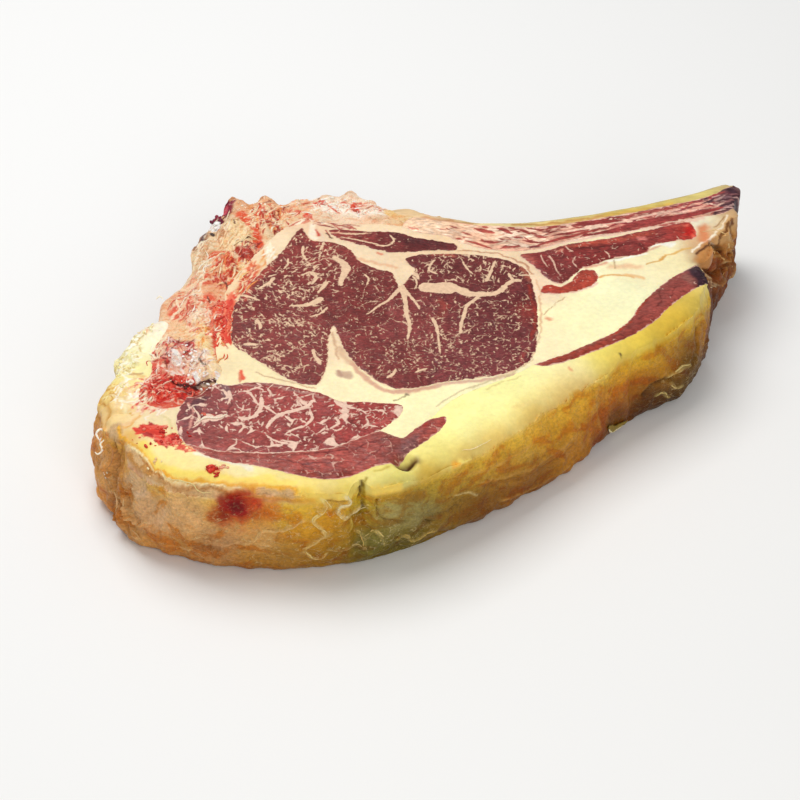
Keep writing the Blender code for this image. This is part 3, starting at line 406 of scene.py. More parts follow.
SCRAP_SHREDS_AND_SHADING = [
    (-125, -77, 5.6, 4.0, 70, -24, 24, 3, 7, 1.2, 2.4, "e0402c", "d03424", "e8604c", "e0402c", "b02820"),
    (-116, -83, 6.0, 3.6, 60, -34, 24, 3, 6, 1.0, 2.0, "e0402c", "d03424", "e8705c", "e0402c", "b02820"),
    (-108, -89, 5.0, 2.6, 26, -30, 40, 1.5, 4, 0.6, 1.2, "e0503c", "e8886c", "c83424"),
    (-96, -103.5, 2.6, 2.2, 22, 30, 60, 1.5, 4, 0.7, 1.2, "c8301c", "e0503c", "b82414"),
    (-131, -50, 4.0, 10.0, 44, 40, 30, 3, 9, 0.5, 1.3, "e06a58", "d84c40", "f4c8b4", "f8e4c8", "e88870"),
    (-124, -60, 8.0, 3.0, 30, 20, 20, 3, 8, 0.5, 1.2, "e06a58", "d84c40", "f4c8b4", "e88870"),
    (-126, -62, 6.0, 8.0, 22, 60, 20, 3, 9, 0.5, 1.1, "f4d4b8", "eec4a4", "faecd8", "e8a890"),
    (-136, -52, 8.0, 12.0, 60, 60, 30, 3, 9, 0.5, 1.3, "fbf0d4", "f4dca8", "f0cc94", "fdf6e4"),
    (-140, -22, 6.0, 16.0, 60, 80, 30, 2, 7, 0.5, 1.3, "fbf6dc", "f0e6a8", "f6eecc", "e6d89c"),
    # These two patches paint the ruffled fat at the left edge: the darker yellows are painted shade in its
    # creases and the near-whites painted highlights on it.
    (-140, -22, 6.0, 18.0, 70, 50, 70, 2, 5, 0.4, 0.9, "dcc07c", "cca85c", "fffbe8", "fdf6dc", "e2c87c"),
    (-134, 3, 5.0, 9.0, 26, 50, 70, 2, 5, 0.4, 0.9, "dcc07c", "e8b894", "fffbe8", "fdf6dc"),
    (-146, -48, 3.0, 10.0, 30, 60, 60, 2, 5, 0.4, 0.9, "d8a448", "c88c3c", "f8e4a4")]
INNER_TINTS = [
    (-30, 54, 48, 14, "f0d6b1"), (-92, 36, 48, 9, "f1d2a8"), (-74, 62, 48, 8, "f2d9b4"),
    (-58, 78, 48, 7, "eccaa6"), (-40, -45, 48, 12, "fbecbd"), (-44, -20, 48, 8, "f3d8b2"),
    (-82, -32, 48, 10, "f8e6b6"), (-98, -30, 48, 7, "f4deb0"), (-60, -46, 48, 6, "f6e2b8"),
    (0, -56, 48, 12, "fcf2bc"), (20, -46, 48, 8, "fbf0c0"), (50, -8, 48, 9, "fbeabc"),
    (75, 8, 48, 16, "fcf4c0"), (88, 22, 48, 12, "f9f7c8"), (56, 24, 48, 7, "f3d8b8"),
    (100, 42, 48, 10, "f5e9bc"), (115, 52, 48, 9, "f4e6b2"), (118, 62, 48, 7, "f8eec4"),
    (130, 62, 48, 6, "e9bd92"), (140, 80, 48, 7, "eedcb2"), (132, 84, 48, 6, "f0ead0"),
    (148, 88, 46, 5, "c9a070"), (10, 58, 48, 8, "eccba2"), (44, 52, 48, 7, "f0d3ae"),
    (50, 30, 48, 6, "f0d2b0"), (20, 64, 48, 6, "f2dcb8"), (-10, 57, 48, 7, "f0cfa8"),
    (138, 66, 30, 9, "9a5a26"), (146, 80, 30, 9, "b07238"), (132, 50, 30, 9, "7c471e"),
    (131, 54, 46, 5, "9a5c2c"), (127, 61, 47, 5, "cf9c60"), (135, 60, 46, 6, "8a5026"),
    (142, 72, 45, 6, "c08c50"), (138, 70, 47, 5, "dcae80"), (147, 78, 45, 5, "cfa06c"),
    (150, 88, 20, 9, "8a5228"), (137, 60, 10, 9, "6a3c18")]
INNER_COATS = [
    ("d8a98c", 2.6, 0.8, (-38, -28), (-31, -39), (-22, -48.5), (-9, -49), (2, -45)),
    ("d9b096", 2.2, 0.8, (2, -45), (12, -42.5), (25, -41), (37, -37)),
    ("c08a6a", 0.9, 0.3, (12, 58), (30, 56), (40, 51), (46, 45), (49, 38)),
    ("dfb189", 0.8, 0.4, (50, 34), (51, 22), (51, 8), (50, -6)),
    ("caa97c", 0.6, 0.3, (62, 20), (56, 13), (52, 7)), ("d8b890", 0.6, 0.4, (49, -14), (50, -4)),
    ("c08448", 7.0, 2.0, (131, 51), (134, 60), (139, 67)),
    ("d4a468", 6.0, 2.0, (142, 71), (147, 79), (149, 84)),
    ("5a3018", 1.5, 0.5, (128, 55), (134, 62), (141, 69)),
    ("7a4a24", 1.1, 0.4, (141, 72), (146, 79), (149, 86)),
    ("f8ecd2", 1.2, 0.4, (126, 57), (132, 65), (139, 72)),
    ("f4e2c4", 0.9, 0.3, (139, 73), (144, 80), (147, 88)),
    ("ecc8b0", 4.6, 0.8, (53, 62), (63, 65.5), (78, 70.5), (92.5, 74.5), (107.5, 78.5), (123, 82.5),
     (133, 86)),
    ("cdbb90", 0.8, 0.4, (44, -28), (36, -36), (22, -44), (10, -52), (2, -60)),
    ("e2c49a", 0.9, 0.5, (46, -26), (40, -32), (30, -39)), ("c8a88c", 5.0, 1.0, (-42, -37), (-39, -38)),
    ("b8927c", 2.0, 0.6, (-43, -35), (-42, -38)),
    ("d2aa86", 1.2, 0.5, (-46, -6), (-45, -16), (-43, -26)),
    ("dcb894", 3.0, 1.2, (-43, -18), (-39, -28)),
    ("a89470", 0.7, 0.3, (-18, -56), (-14, -53), (-11.5, -51)),
    ("8f7c60", 1.2, 0.4, (-11.5, -51), (-11, -51)), ("e0a45c", 1.1, 0.5, (80, 37), (88, 38.5), (96, 37)),
    ("ecc088", 1.6, 0.8, (92, 39), (101, 36)), ("d69c48", 0.9, 0.4, (104, 47), (110, 51), (114, 55)),
    ("e0b060", 1.1, 0.5, (113, 55), (119, 57), (126, 60)),
    ("fdf8e6", 1.6, 0.5, (84, 49), (94, 52), (104, 56)),
    ("fffdf0", 1.4, 0.5, (104, 60), (112, 64), (118, 63)),
    ("e8a078", 3.0, 1.4, (-95, 22), (-96, 8), (-96, -8)),
    ("e08a58", 3.6, 1.4, (-91, 26), (-87, 36), (-83, 44)), ("eec79c", 3.0, 1.4, (86, 45), (100, 45)),
    ("b89a72", 0.7, 0.3, (88, 50), (88, 44)), ("e56040", 1.6, 0.4, (-87, -34), (-86.5, -41)),
    ("d98a66", 0.8, 0.3, (-88, -36), (-87, -43)),
    ("c9a27e", 0.7, 0.4, (-80, -36), (-66, -43), (-52, -48)), ("e6a07c", 2.6, 0.9, (54, 5), (55, 4)),
    ("e0886a", 1.4, 0.6, (-26, 56), (-24, 55)), ("e6b892", 2.2, 0.8, (-36, 52), (-24, 47), (-17, 44)),
    ("f0c9b4", 2.0, 0.8, (58, 27), (68, 26), (78, 31)), ("e4a98c", 1.6, 0.8, (74, 44), (84, 48)),
    ("e2b196", 1.2, 0.6, (104, 58), (112, 62)), ("d98a5c", 5.0, 2.0, (134, 78), (133, 68)),
    ("b4a888", 1.4, 0.4, (88, 52), (94, 54), (100, 56)),
    ("a87848", 0.8, 0.4, (139, 78), (142, 82), (145, 87)), ("f4efe0", 5.0, 1.6, (112, 66), (116, 63)),
    ("e8cdb0", 3.0, 1.0, (-55, 72), (-52, 66)), ("c84a38", 1.6, 0.6, (-57, 76), (-55, 71)),
    ("b5483c", 0.9, 0.4, (-51, 75), (-49, 71)), ("f2e2c8", 2.6, 0.6, (-58, 80), (-58, 72), (-56, 68)),
    ("3c2018", 0.7, 0.3, (-51, 73), (-48, 70))]
# The tints at low levels on the side are darker than those above them: painted shade towards the foot, over
# the skin's own colour.
OUTER_TINTS = [
    (60, -38, 46, 12, "fdf3b4"), (35, -52, 46, 16, "fef9aa"), (12, -72, 46, 15, "fef8a5"),
    (4, -88, 44, 8, "f6e680"), (80, -24, 45, 9, "f0dc6c"), (96, -12, 45, 9, "e6c850"),
    (110, 4, 45, 9, "dcb843"), (122, 22, 45, 8, "d9bb52"), (129, 30, 45, 6, "e6cf78"),
    (62, -48, 42, 9, "eab028"), (46, -64, 42, 9, "e8ac26"), (28, -80, 42, 8, "e8b038"),
    (14, -90, 43, 6, "dca83c"), (0, -100, 43, 5, "d8ae38"), (-36, -113, 45, 5, "e0c44c"),
    (-57, -115, 46, 5, "f4d24c"), (-75, -113, 46.5, 5, "f8e06a"), (-94, -109, 46, 4, "f2b43c"),
    (-101, -104, 47, 4, "fde884"), (-110, -99, 47, 4, "fadf78"), (-117, -94, 47, 4, "f8e08a"),
    (-124, -89, 47, 4, "fae690"), (-133, -80, 46, 4, "e8ae40"), (-30, -110, 46, 9, "f0e088"),
    (-20, -103, 46, 7, "ece07c"), (-60, -112, 46, 12, "f8e692"), (-85, -104, 46, 12, "f9ebaa"),
    (-108, -98, 46, 12, "f8e4a2"), (-122, -84, 46, 9, "f4dca0"), (-124, -66, 47, 8, "f0dcb0"),
    (-140, -62, 46, 9, "f4d494"), (-146, -48, 44, 7, "f0d074"), (-140, -32, 46, 9, "f4e9a6"),
    (-138, -14, 46, 9, "f8f3cc"), (-132, 0, 46, 7, "f6ead2"), (-150, -60, 30, 9, "dc9850"),
    (-148, -74, 26, 8, "e0a070"), (-141, -84, 20, 6, "a05c34"), (-134, -95, 30, 9, "cc9474"),
    (-128, -100, 36, 7, "e2b898"), (-120, -104, 18, 10, "c8947c"), (-108, -110, 30, 10, "e2b498"),
    (-96, -113, 14, 12, "b8846c"), (-90, -114, 40, 7, "f0cc98"), (-76, -116, 26, 12, "d2a470"),
    (-70, -117, 8, 12, "a87c50"), (-66, -117, 42, 8, "f0d27c"), (-56, -117, 28, 9, "d49f34"),
    (-48, -116, 34, 8, "cc9620"), (-50, -116, 10, 10, "96701f"), (-40, -115, 22, 7, "b08a2c"),
    (-32, -114, 30, 5, "a08a38"), (-30, -114, 12, 8, "6f6a2a"), (-22, -111, 38, 7, "a89850"),
    (-14, -108, 26, 8, "928c7c"), (-8, -105, 12, 9, "6c6434"), (0, -100, 34, 7, "a4904c"),
    (4, -97, 16, 9, "8a6c30"), (14, -90, 34, 8, "b08a3e"), (22, -84, 16, 10, "7c5216"),
    (32, -77, 30, 9, "b8873a"), (42, -66, 14, 11, "8a5a18"), (50, -58, 34, 9, "c88f2c"),
    (60, -46, 20, 10, "b07a20"), (66, -42, 36, 8, "d09a2c"), (76, -32, 26, 9, "bc7a1a"),
    (84, -26, 12, 9, "78420c"), (86, -25, 36, 7, "cc8c24"), (96, -16, 24, 7, "b47a22"),
    (102, -8, 12, 7, "56360a"), (108, -3, 30, 8, "b8882a"), (118, 6, 24, 8, "866020"),
    (120, 8, 8, 9, "48300a"), (128, 22, 28, 7, "a8761e"), (131, 30, 10, 8, "5c3004")]
OUTER_COATS = [
    ("f0c890", 1.6, 0.8, (-128, -63), (-134, -70), (-143, -73)),
    ("e8a850", 0.8, 0.5, (-129, -65), (-135, -72), (-143, -75)),
    ("d8a04c", 1.0, 0.7, (-150, -50), (-145, -62), (-147, -70)),
    ("f6eccf", 3.0, 1.0, (-103, -92), (-92, -96), (-80, -102)),
    ("d9a84c", 1.2, 0.6, (-143, -50), (-139, -60), (-134, -66)),
    ("e8b868", 1.6, 0.8, (-148, -44), (-138, -48)), ("c98a30", 1.0, 0.5, (-139, -73), (-136, -84)),
    ("f8e8b8", 2.0, 0.8, (-141, -54), (-137, -63)),
    # At the left edge, the thin darker line is painted shade in a crease, and the near-white coats on the
    # next line are painted highlights on the ruffled fat.
    ("cfb37c", 0.8, 0.4, (-134, -8), (-139, -18), (-142, -28)),
    ("fffbe8", 2.6, 0.8, (-137, -6), (-140, -18)), ("fdf8e2", 2.0, 0.8, (-142, -24), (-143, -32)),
    ("e8b48c", 2.0, 0.8, (-131, -2), (-133, -6)), ("e9c07c", 2.0, 0.9, (-136, -36), (-131, -40)),
    ("c79a6c", 1.2, 0.5, (-138, -37), (-132, -36)),
    ("e0cf96", 1.0, 0.5, (-122, -64), (-117, -72), (-116, -80)),
    ("d9c276", 0.7, 0.4, (20, -46), (8, -56), (-2, -64)), ("e6d48c", 0.8, 0.4, (40, -38), (24, -48)),
    ("f1d98a", 2.0, 1.2, (36, -60), (52, -50)), ("5b4a2c", 1.3, 0.5, (86, -19.5), (86.4, -20)),
    ("e8a878", 1.4, 0.6, (62, -32), (63, -33)), ("a8902c", 1.2, 0.6, (-31, -112), (-30, -107)),
    ("c9b450", 1.4, 0.8, (-26, -104), (-20, -102)),
    # The two dark browns in the hollow at x -13, y -97.5 are painted shade in it.
    ("6a4420", 3.4, 1.8, (-15, -98.2), (-11.5, -97.4), (-8, -96)),
    ("402410", 1.5, 1.0, (-13, -97.8), (-10, -97.2), (-8.5, -96.4))]
# The rolled rim above the skin of the side: colour, width, softness, share of skin, points.
RIM = [
    ("d8b07c", 8.5, 0.8, 0.9, (-142.5, -73.5), (-138.5, -82.5), (-132, -91), (-124.5, -102.5),
     (-114.5, -110.5), (-103.5, -113), (-84.5, -117), (-73, -117), (-62, -118.5), (-50, -123)),
    ("f8dc6c", 4.0, 1.4, 0.0, (-128.5, -85), (-121, -96.5), (-112, -103), (-102.5, -105.5),
     (-83.5, -109.5), (-72.5, -109.5), (-62, -112)),
    ("ecae34", 1.6, 0.6, 0.3, (-140, -73), (-135.5, -80.5), (-129, -87.5), (-121.5, -99),
     (-112.5, -105.5), (-102.5, -108), (-84, -112), (-73, -112), (-62.5, -114.5), (-51.5, -119)),
    ("eba62c", 1.8, 0.5, 0.0, (-121.5, -99), (-112.5, -105.5)),
    ("f0bc4c", 2.0, 0.6, 0.0, (-84, -112), (-73, -112)),
    # This thin pale line on the crest of the rolled rim is a painted highlight.
    ("f6e8b4", 0.7, 0.4, 0.0, (-135.5, -81.5), (-129, -88.5), (-121.5, -99.5), (-112.5, -106),
     (-102.5, -109), (-84, -112.5)),
    ("b87c3c", 0.7, 0.3, 0.5, (-129, -90), (-121.5, -101), (-112.5, -107.5), (-102.5, -110.5),
     (-84, -114)),
    ("f2d060", 3.0, 1.2, 0.0, (-58, -115.5), (-45, -118), (-36.5, -117), (-23.5, -112), (-15, -109.5)),
    ("dcae3c", 1.4, 0.6, 0.3, (-60, -117.5), (-47, -121), (-36.5, -119.5)),
    ("f0b848", 3.0, 1.2, 0.2, (9, -94.5), (24.5, -86.5), (42.5, -77), (56, -66), (70.5, -55)),
    ("f8e27c", 1.6, 0.7, 0.0, (11, -92), (24.5, -85), (42.5, -74), (56.5, -63))]
# Blood and stains under the skin of the side, and painted shade low on its right: x, y, z, reach,
# softness, colour, strength.
STAINS_AND_SHADE = [
    (-143, -22, 18, 17.0, 8.0, "d8b078", 0.8), (-134, 2, 16, 13.0, 6.0, "dcb890", 0.8),
    (-147, -45, 18, 13.0, 6.0, "cf9c54", 0.7), (-12, -107, 27, 9.0, 4.0, "94854a", 0.7),
    (-3, -103, 22, 7.0, 3.0, "867840", 0.6), (-20, -110, 31, 6.0, 3.0, "a89a5c", 0.6),
    (-28, -112, 13, 7.0, 3.0, "777030", 0.6), (-108, -112, 31, 12.0, 6.0, "deac74", 0.75),
    (-96, -114, 14, 10.0, 5.0, "bc8a58", 0.6), (-122, -104, 24, 10.0, 5.0, "e2b484", 0.75),
    (-131, -98, 34, 7.0, 3.0, "d8b48c", 0.65), (-144, -74, 24, 13.0, 6.0, "dea45c", 0.7),
    (-141, -90, 14, 10.0, 5.0, "c8904e", 0.6), (-146, -60, 30, 9.0, 4.0, "d89a60", 0.5),
    (-133, -98, 16, 9.0, 4.0, "d8a468", 0.6), (-76, -117, 22, 9.0, 4.0, "d4a468", 0.5),
    (-90, -115, 24, 9.0, 4.0, "cc9a68", 0.6), (-64, -118, 14, 8.0, 4.0, "a4772c", 0.4),
    # The three dark browns low on the right, at x 131, 118 and 86, are painted shade near the foot.
    (131, 30, 12, 9.0, 4.0, "6c420a", 0.6), (118, 5, 16, 9.0, 4.0, "5e4412", 0.6),
    (86, -26, 8, 9.0, 4.0, "6c480c", 0.5), (-83, -116, 36, 11.0, 6.0, "d07a2c", 0.6),
    (-72, -117, 37, 6.0, 3.0, "d8602c", 0.5), (-92, -115.5, 33, 6.0, 3.0, "b04a18", 0.8),
    (-84, -116, 38, 8.0, 2.0, "b4340c", 0.85), (-77, -116.5, 40, 3.4, 1.6, "c83c14", 0.8),
    (-90, -115.5, 39.5, 4.4, 1.6, "98200a", 0.9), (-85, -116, 38, 5.2, 1.4, "980600", 0.95),
    (-91.5, -116, 32.5, 2.6, 1.4, "8c2408", 0.8), (-85.5, -116, 37.8, 3.0, 1.2, "780000", 1.0)]
# How much light of each colour is taken out of the skin's lines and of the lean, and how much
# painted shade darkens the grooves of rumpled skin.
LINE_LIGHT = np.array((0.92, 0.84, 0.64))
GROOVE_SHADE = np.array((0.4, 0.52, 0.66))
LEAN_LIGHT = (0.9, 0.74, 0.72)
COVER_TINTS = [
    (0, 79, 48, 9, "e8c2a0"), (20, 74, 48, 9, "e4b494"), (45, 70, 48, 9, "d9a68c"),
    (70, 80, 48, 10, "d69a82"), (95, 84, 48, 9, "c88674"), (118, 92, 48, 9, "d09a80"),
    (135, 98, 48, 8, "d8a088"), (150, 108, 46, 8, "5c3a3c"), (149, 98, 44, 6, "4a2c32"),
    (152, 105, 20, 9, "4c2a24"), (145, 96, 48, 4, "6a4046")]
COVER_COATS = [
    ("6a3a42", 3.6, 0.9, (140, 104), (147, 106), (151, 110)),
    ("4c2830", 5.0, 1.2, (141, 92), (146, 95), (150, 98)),
    ("3c222c", 4.0, 1.2, (150, 112), (153, 107), (151, 101)),
    ("8a6468", 2.0, 0.7, (146, 103), (149, 104))]
# Long streaks over the shreds of the rib cover: colour, half width, points.
COVER_STREAKS = [
    ("983c34", 1.1, (48, 60.5), (54.5, 64), (66.5, 69), (74.5, 73), (83, 77)),
    ("8f3633", 2.3, (74.5, 70), (86.5, 74), (94.5, 77.5), (107, 82.5), (119.5, 85.5), (128.5, 88.5),
     (137, 91.5), (145, 95)),
    ("9c423c", 1.2, (94, 74.5), (107, 79), (119.5, 84)),
    ("8e3632", 1.9, (69.5, 79.5), (78.5, 81.5), (86, 83), (93, 83)),
    ("a85048", 0.8, (92, 84), (103.5, 90), (116.5, 92.5), (124, 95.5)),
    ("9c4440", 1.5, (129.5, 103), (140, 105.5), (147.5, 108.5)),
    ("8e3632", 0.8, (63, 70.5), (70.5, 74), (78, 76.5)), ("803438", 1, (47, 61.5), (50, 62), (53, 62)),
    ("ecccb4", 1, (53, 58), (61.5, 63.5), (74, 68.5), (82.5, 71), (94, 73), (109, 77), (119.5, 81.5)),
    ("e0b4a0", 0.8, (83, 79), (95, 83), (108.5, 88), (123.5, 92.5)),
    ("e8c8ac", 1.1, (104, 93.5), (119.5, 98.5), (134.5, 102)),
    ("e8c4ac", 0.7, (63.5, 73), (73, 76.5), (83.5, 80.5)),
    ("a4483e", 0.8, (24, 66.5), (30, 65.5), (35, 66.5)),
    ("a4483e", 0.9, (33.5, 60.5), (38.5, 61.5), (43.5, 62)),
    ("9c4038", 1.3, (32.5, 76.5), (36, 75), (39.5, 72)),
    ("9c4038", 1.2, (43.5, 75.5), (46, 74), (48.5, 72)),
    ("9c4038", 1.2, (56.5, 75.5), (60, 78), (63.5, 79.5)),
    ("a84a3e", 1.6, (21.5, 77), (26, 74.5), (31, 73)), ("a4483e", 1.2, (38.5, 78), (41, 76.5)),
    ("a84a3e", 1, (17, 66.5), (23, 64), (29.5, 60.5))]
# Coats on the lean. The redder ones lie along edges; the darker are cracks, drawn dark as painted
# shade in them.
EYE_TINTS = [
    (-66, 58, 48, 14, "843a36"), (-80, 20, 48, 14, "7c3634"), (-70, -15, 48, 14, "84403d"),
    (-34, 20, 48, 12, "783331"), (-20, -30, 48, 12, "7c3836"), (20, 45, 48, 14, "6e3030"),
    (30, 8, 48, 14, "6c2f31"), (20, -24, 48, 14, "78393b"), (-4, 0, 48, 10, "84403f"),
    (46, 10, 48, 5, "8e3a30")]
EYE_COATS = [
    ("96382c", 1.4, 0.8, (46, 30), (48, 14), (48, 2), (46, -12)),
    ("94403a", 1.6, 1.0, (40, -28), (44, -18)), ("a4483e", 3.0, 1.4, (-78, 44), (-86, 28), (-88, 20)),
    ("9a443e", 3.0, 1.4, (-62, 70), (-52, 60)), ("93443c", 3.0, 1.4, (4, 18), (6, 12), (3, 5)),
    ("8e4a48", 4.0, 1.6, (-20, 16), (-19, 8)), ("a25848", 2.0, 1.0, (0, 55), (10, 54.5)),
    ("a5604c", 3.0, 1.4, (44, 44), (47, 34))]
CAP_TINTS = [
    (-100, -60, 48, 14, "98504d"), (-62, -60, 48, 16, "a04a46"), (-60, -80, 48, 12, "94413e"),
    (-30, -66, 48, 12, "a0443f"), (-85, -80, 48, 12, "9c4c46"), (-106, -64, 48, 8, "7c4a4e")]
CAP_COATS = [
    ("8a6a6c", 4.0, 1.0, (-95, -45), (-93, -50), (-92, -54)),
    ("6c4248", 4.0, 1.4, (-103, -54), (-108, -62)),
    ("a87c74", 1.8, 0.7, (-88, -45), (-76, -45), (-62, -49.5), (-50, -53.5)),
    ("c8423a", 1.8, 0.6, (-99, -66), (-98, -67)),
    ("7a332f", 1.2, 0.6, (-50, -67), (-40, -68), (-34, -74)),
    ("7c3530", 0.9, 0.5, (-36, -70), (-33, -77)), ("863c38", 2.0, 1.0, (-56, -83), (-48, -85)),
    ("7e3a38", 1.0, 0.5, (-90, -58), (-92, -66)),
    ("b8605a", 2.0, 1.0, (-18, -62), (-20, -69), (-27, -74)),
    ("e0a898", 1.0, 0.4, (-110, -58), (-107, -66), (-108, -76))]
STRIP_TINTS = [
    (-80, -97, 48, 14, "a4564c"), (-45, -98, 48, 14, "a6544b"), (-14, -86, 48, 10, "935048"),
    (0, -71, 48, 7, "a8504a")]
STRIP_COATS = [
    ("742c2a", 0.9, 0.4, (-14, -82), (-20, -83), (-29, -86), (-37, -92)),
    ("7c3431", 0.7, 0.4, (-22, -86), (-27, -94), (-33, -99)),
    ("7a3230", 0.9, 0.4, (-38, -90), (-48, -92), (-60, -93)),
    ("7c3330", 0.8, 0.4, (-45, -89), (-47, -94), (-51, -97)),
    ("823a36", 0.7, 0.4, (-58, -99), (-46, -99), (-36, -98)),
    ("80403c", 0.7, 0.4, (-70, -96), (-60, -99), (-52, -103)),
    ("8a3a2e", 4.0, 1.2, (-58, -105), (-46, -107), (-38, -106)),
    ("a8362c", 2.4, 0.8, (-5, -72), (-3, -74)), ("835654", 6.0, 2.0, (-8, -84), (-13, -90)),
    ("c88474", 1.4, 0.7, (-54, -96), (-43, -96)), ("84423c", 0.7, 0.4, (-84, -93), (-76, -98)),
    ("b05a50", 2.0, 1.0, (3, -69), (0, -76), (-6, -84))]
FLANK_TINTS = [
    (66, -20, 48, 10, "9c4638"), (92, 0, 48, 10, "98493f"), (106, 16, 48, 10, "9a4f47"),
    (118, 32, 48, 9, "964c44"), (127, 38, 48, 5, "54333e"), (129, 37, 16, 5, "4a262c"),
    (128, 44, 26, 5, "4e2a2e"), (129, 32, 26, 5, "4e2a2e")]
FLANK_COATS = [
    ("a4381e", 3.0, 1.0, (56, -25.5), (70, -16), (84, -6.5), (92, 2)),
    ("a03c26", 2.0, 0.8, (92, 2), (97, 12), (104, 22)),
    ("3b2430", 7.0, 1.4, (126, 45), (128, 38), (130, 32)), ("2c1a26", 3.0, 1.0, (129, 44), (131, 34)),
    ("7a332c", 0.8, 0.4, (104, 12), (108, 18), (107, 25)), ("7c3630", 0.7, 0.4, (112, 20), (116, 28)),
    ("7a342e", 0.9, 0.5, (96, 4), (100, 6)), ("c8705c", 1.2, 0.7, (94, 9), (97, 14)),
    ("8a5a50", 4.0, 1.4, (121, 37), (124, 32))]
RIB_LEAN_TINTS = [
    (60, 50, 48, 10, "843634"), (75, 56, 48, 10, "86332f"), (95, 60, 48, 9, "8c3c38"),
    (112, 70, 48, 9, "983f3a"), (126, 74, 48, 6, "b03a2c"), (62, 38, 48, 7, "7a3634")]
RIB_LEAN_COATS = [
    ("6c2826", 0.9, 0.4, (66, 59), (74, 61.5), (85.5, 58), (93.5, 63)),
    ("6c2826", 0.8, 0.4, (74.5, 56.5), (81.5, 55.5), (89.5, 61.5), (98, 64), (104, 59.5)),
    ("702a28", 0.8, 0.4, (87, 63), (96, 64.5), (106, 67), (114.5, 72)),
    ("702a28", 0.7, 0.3, (69, 46.5), (76.5, 49), (83.5, 47.5)),
    ("a4504a", 1.6, 0.6, (82.5, 67), (95, 69.5), (107.5, 73)),
    ("b0503f", 3.0, 1.0, (66, 61), (80, 65), (96, 69), (108, 73)),
    ("6a2420", 1.6, 0.8, (70, 60), (84, 62), (98, 65)), ("c2241c", 6.0, 1.6, (127, 73), (127.5, 75)),
    ("d8604c", 3.0, 1.2, (130, 76), (129, 69)), ("e08a80", 3.0, 1.2, (102, 68), (104, 68)),
    ("a8564c", 5.0, 1.4, (46, 53), (48, 49)), ("6c2826", 1.0, 0.5, (92, 63), (97, 65), (103, 62)),
    ("c8604e", 1.6, 0.7, (118, 78), (126, 79.5)), ("c4806c", 1.0, 0.5, (60, 56), (64, 58)),
    ("74302e", 0.9, 0.5, (74, 57), (76, 50))]
TAIL_TINTS = [(55, 28, 48, 6, "a8402c"), (70, 34, 48, 7, "b04a38")]
TAIL_COATS = [("9c3a30", 1.2, 0.6, (68, 30), (72, 34)), ("c0604c", 1.2, 0.6, (62, 30), (66, 33))]
INNER_LEAN_TINTS = [(-40, 71, 48, 9, "8c3f3a"), (-20, 67, 48, 8, "763230"), (5, 66, 48, 10, "662b2c")]
INNER_LEAN_COATS = [
    ("5c2628", 6.0, 2.0, (-18, 70), (-10, 66), (2, 65)), ("95443c", 2.0, 1.0, (-46, 72), (-36, 69)),
    ("e0b898", 0.8, 0.3, (-48, 74), (-38, 73), (-30, 73)),
    ("c88a74", 0.7, 0.3, (-46, 70), (-34, 67), (-28, 65))]
BONE_TINTS = [
    (-4, 89, 48, 9, "e4c290"), (12, 84, 48, 9, "e6c690"), (32, 82, 48, 9, "eeda9c"),
    (50, 82, 48, 9, "ead28a"), (80, 89, 48, 9, "e0c878"), (110, 98, 48, 9, "dcc468"),
    (135, 108, 48, 8, "dac674"), (148, 114, 48, 5, "c9b078"), (10, 88, 20, 16, "b88c54"),
    (45, 86, 20, 18, "b8944c"), (85, 94, 20, 18, "b0903e"), (120, 104, 20, 16, "a88a40"),
    (146, 114, 20, 10, "8a6a40")]
BONE_COATS = [
    ("c89448", 1.6, 0.6, (40, 79.5), (60, 81), (85, 87.5), (110, 95)),
    ("c88c5a", 1.6, 0.7, (-4, 86), (8, 83.5), (20, 81.5)),
    ("d8b04c", 2.0, 0.8, (86, 88.5), (104, 93), (120, 98)),
    ("a89468", 0.7, 0.4, (30, 83), (50, 83), (66, 86), (90, 93)),
    ("b8a478", 0.8, 0.4, (120, 102.5), (134, 108), (144, 113)),
    ("9a8c5a", 0.6, 0.4, (100, 96.5), (116, 101)), ("e0a080", 1.4, 0.7, (-2, 89), (6, 87)),
    ("b48850", 1.2, 0.6, (16, 83), (24, 82))]


def linear(code):
    """Linear red, green and blue of a six-digit colour code."""
    values = np.array([int(code[k:k + 2], 16) for k in (0, 2, 4)]) / 255
    return np.where(values <= 0.04045, values / 12.92, ((values + 0.055) / 1.055) ** 2.4)


def faded(value, low, high):
    """0 below low, 1 above high, and a smooth rise between."""
    t = np.clip((value - low) / (high - low), 0.0, 1.0)
    return t * t * (3.0 - 2.0 * t)


def peak(value, width):
    """1 where a value is 0, and a smooth fall on both sides."""
    return np.exp(-(value / width) ** 2)


def toward(angle):
    """One step in the plan that way."""
    return np.array([math.cos(angle), math.sin(angle)])


def spot_in(chance, x, y, half_x, half_y):
    """A random place in a rounded patch."""
    turn = chance.uniform(0, math.tau)
    out = math.sqrt(chance.uniform(0, 1))
    return np.array([x + out * half_x * math.cos(turn), y + out * half_y * math.sin(turn)])


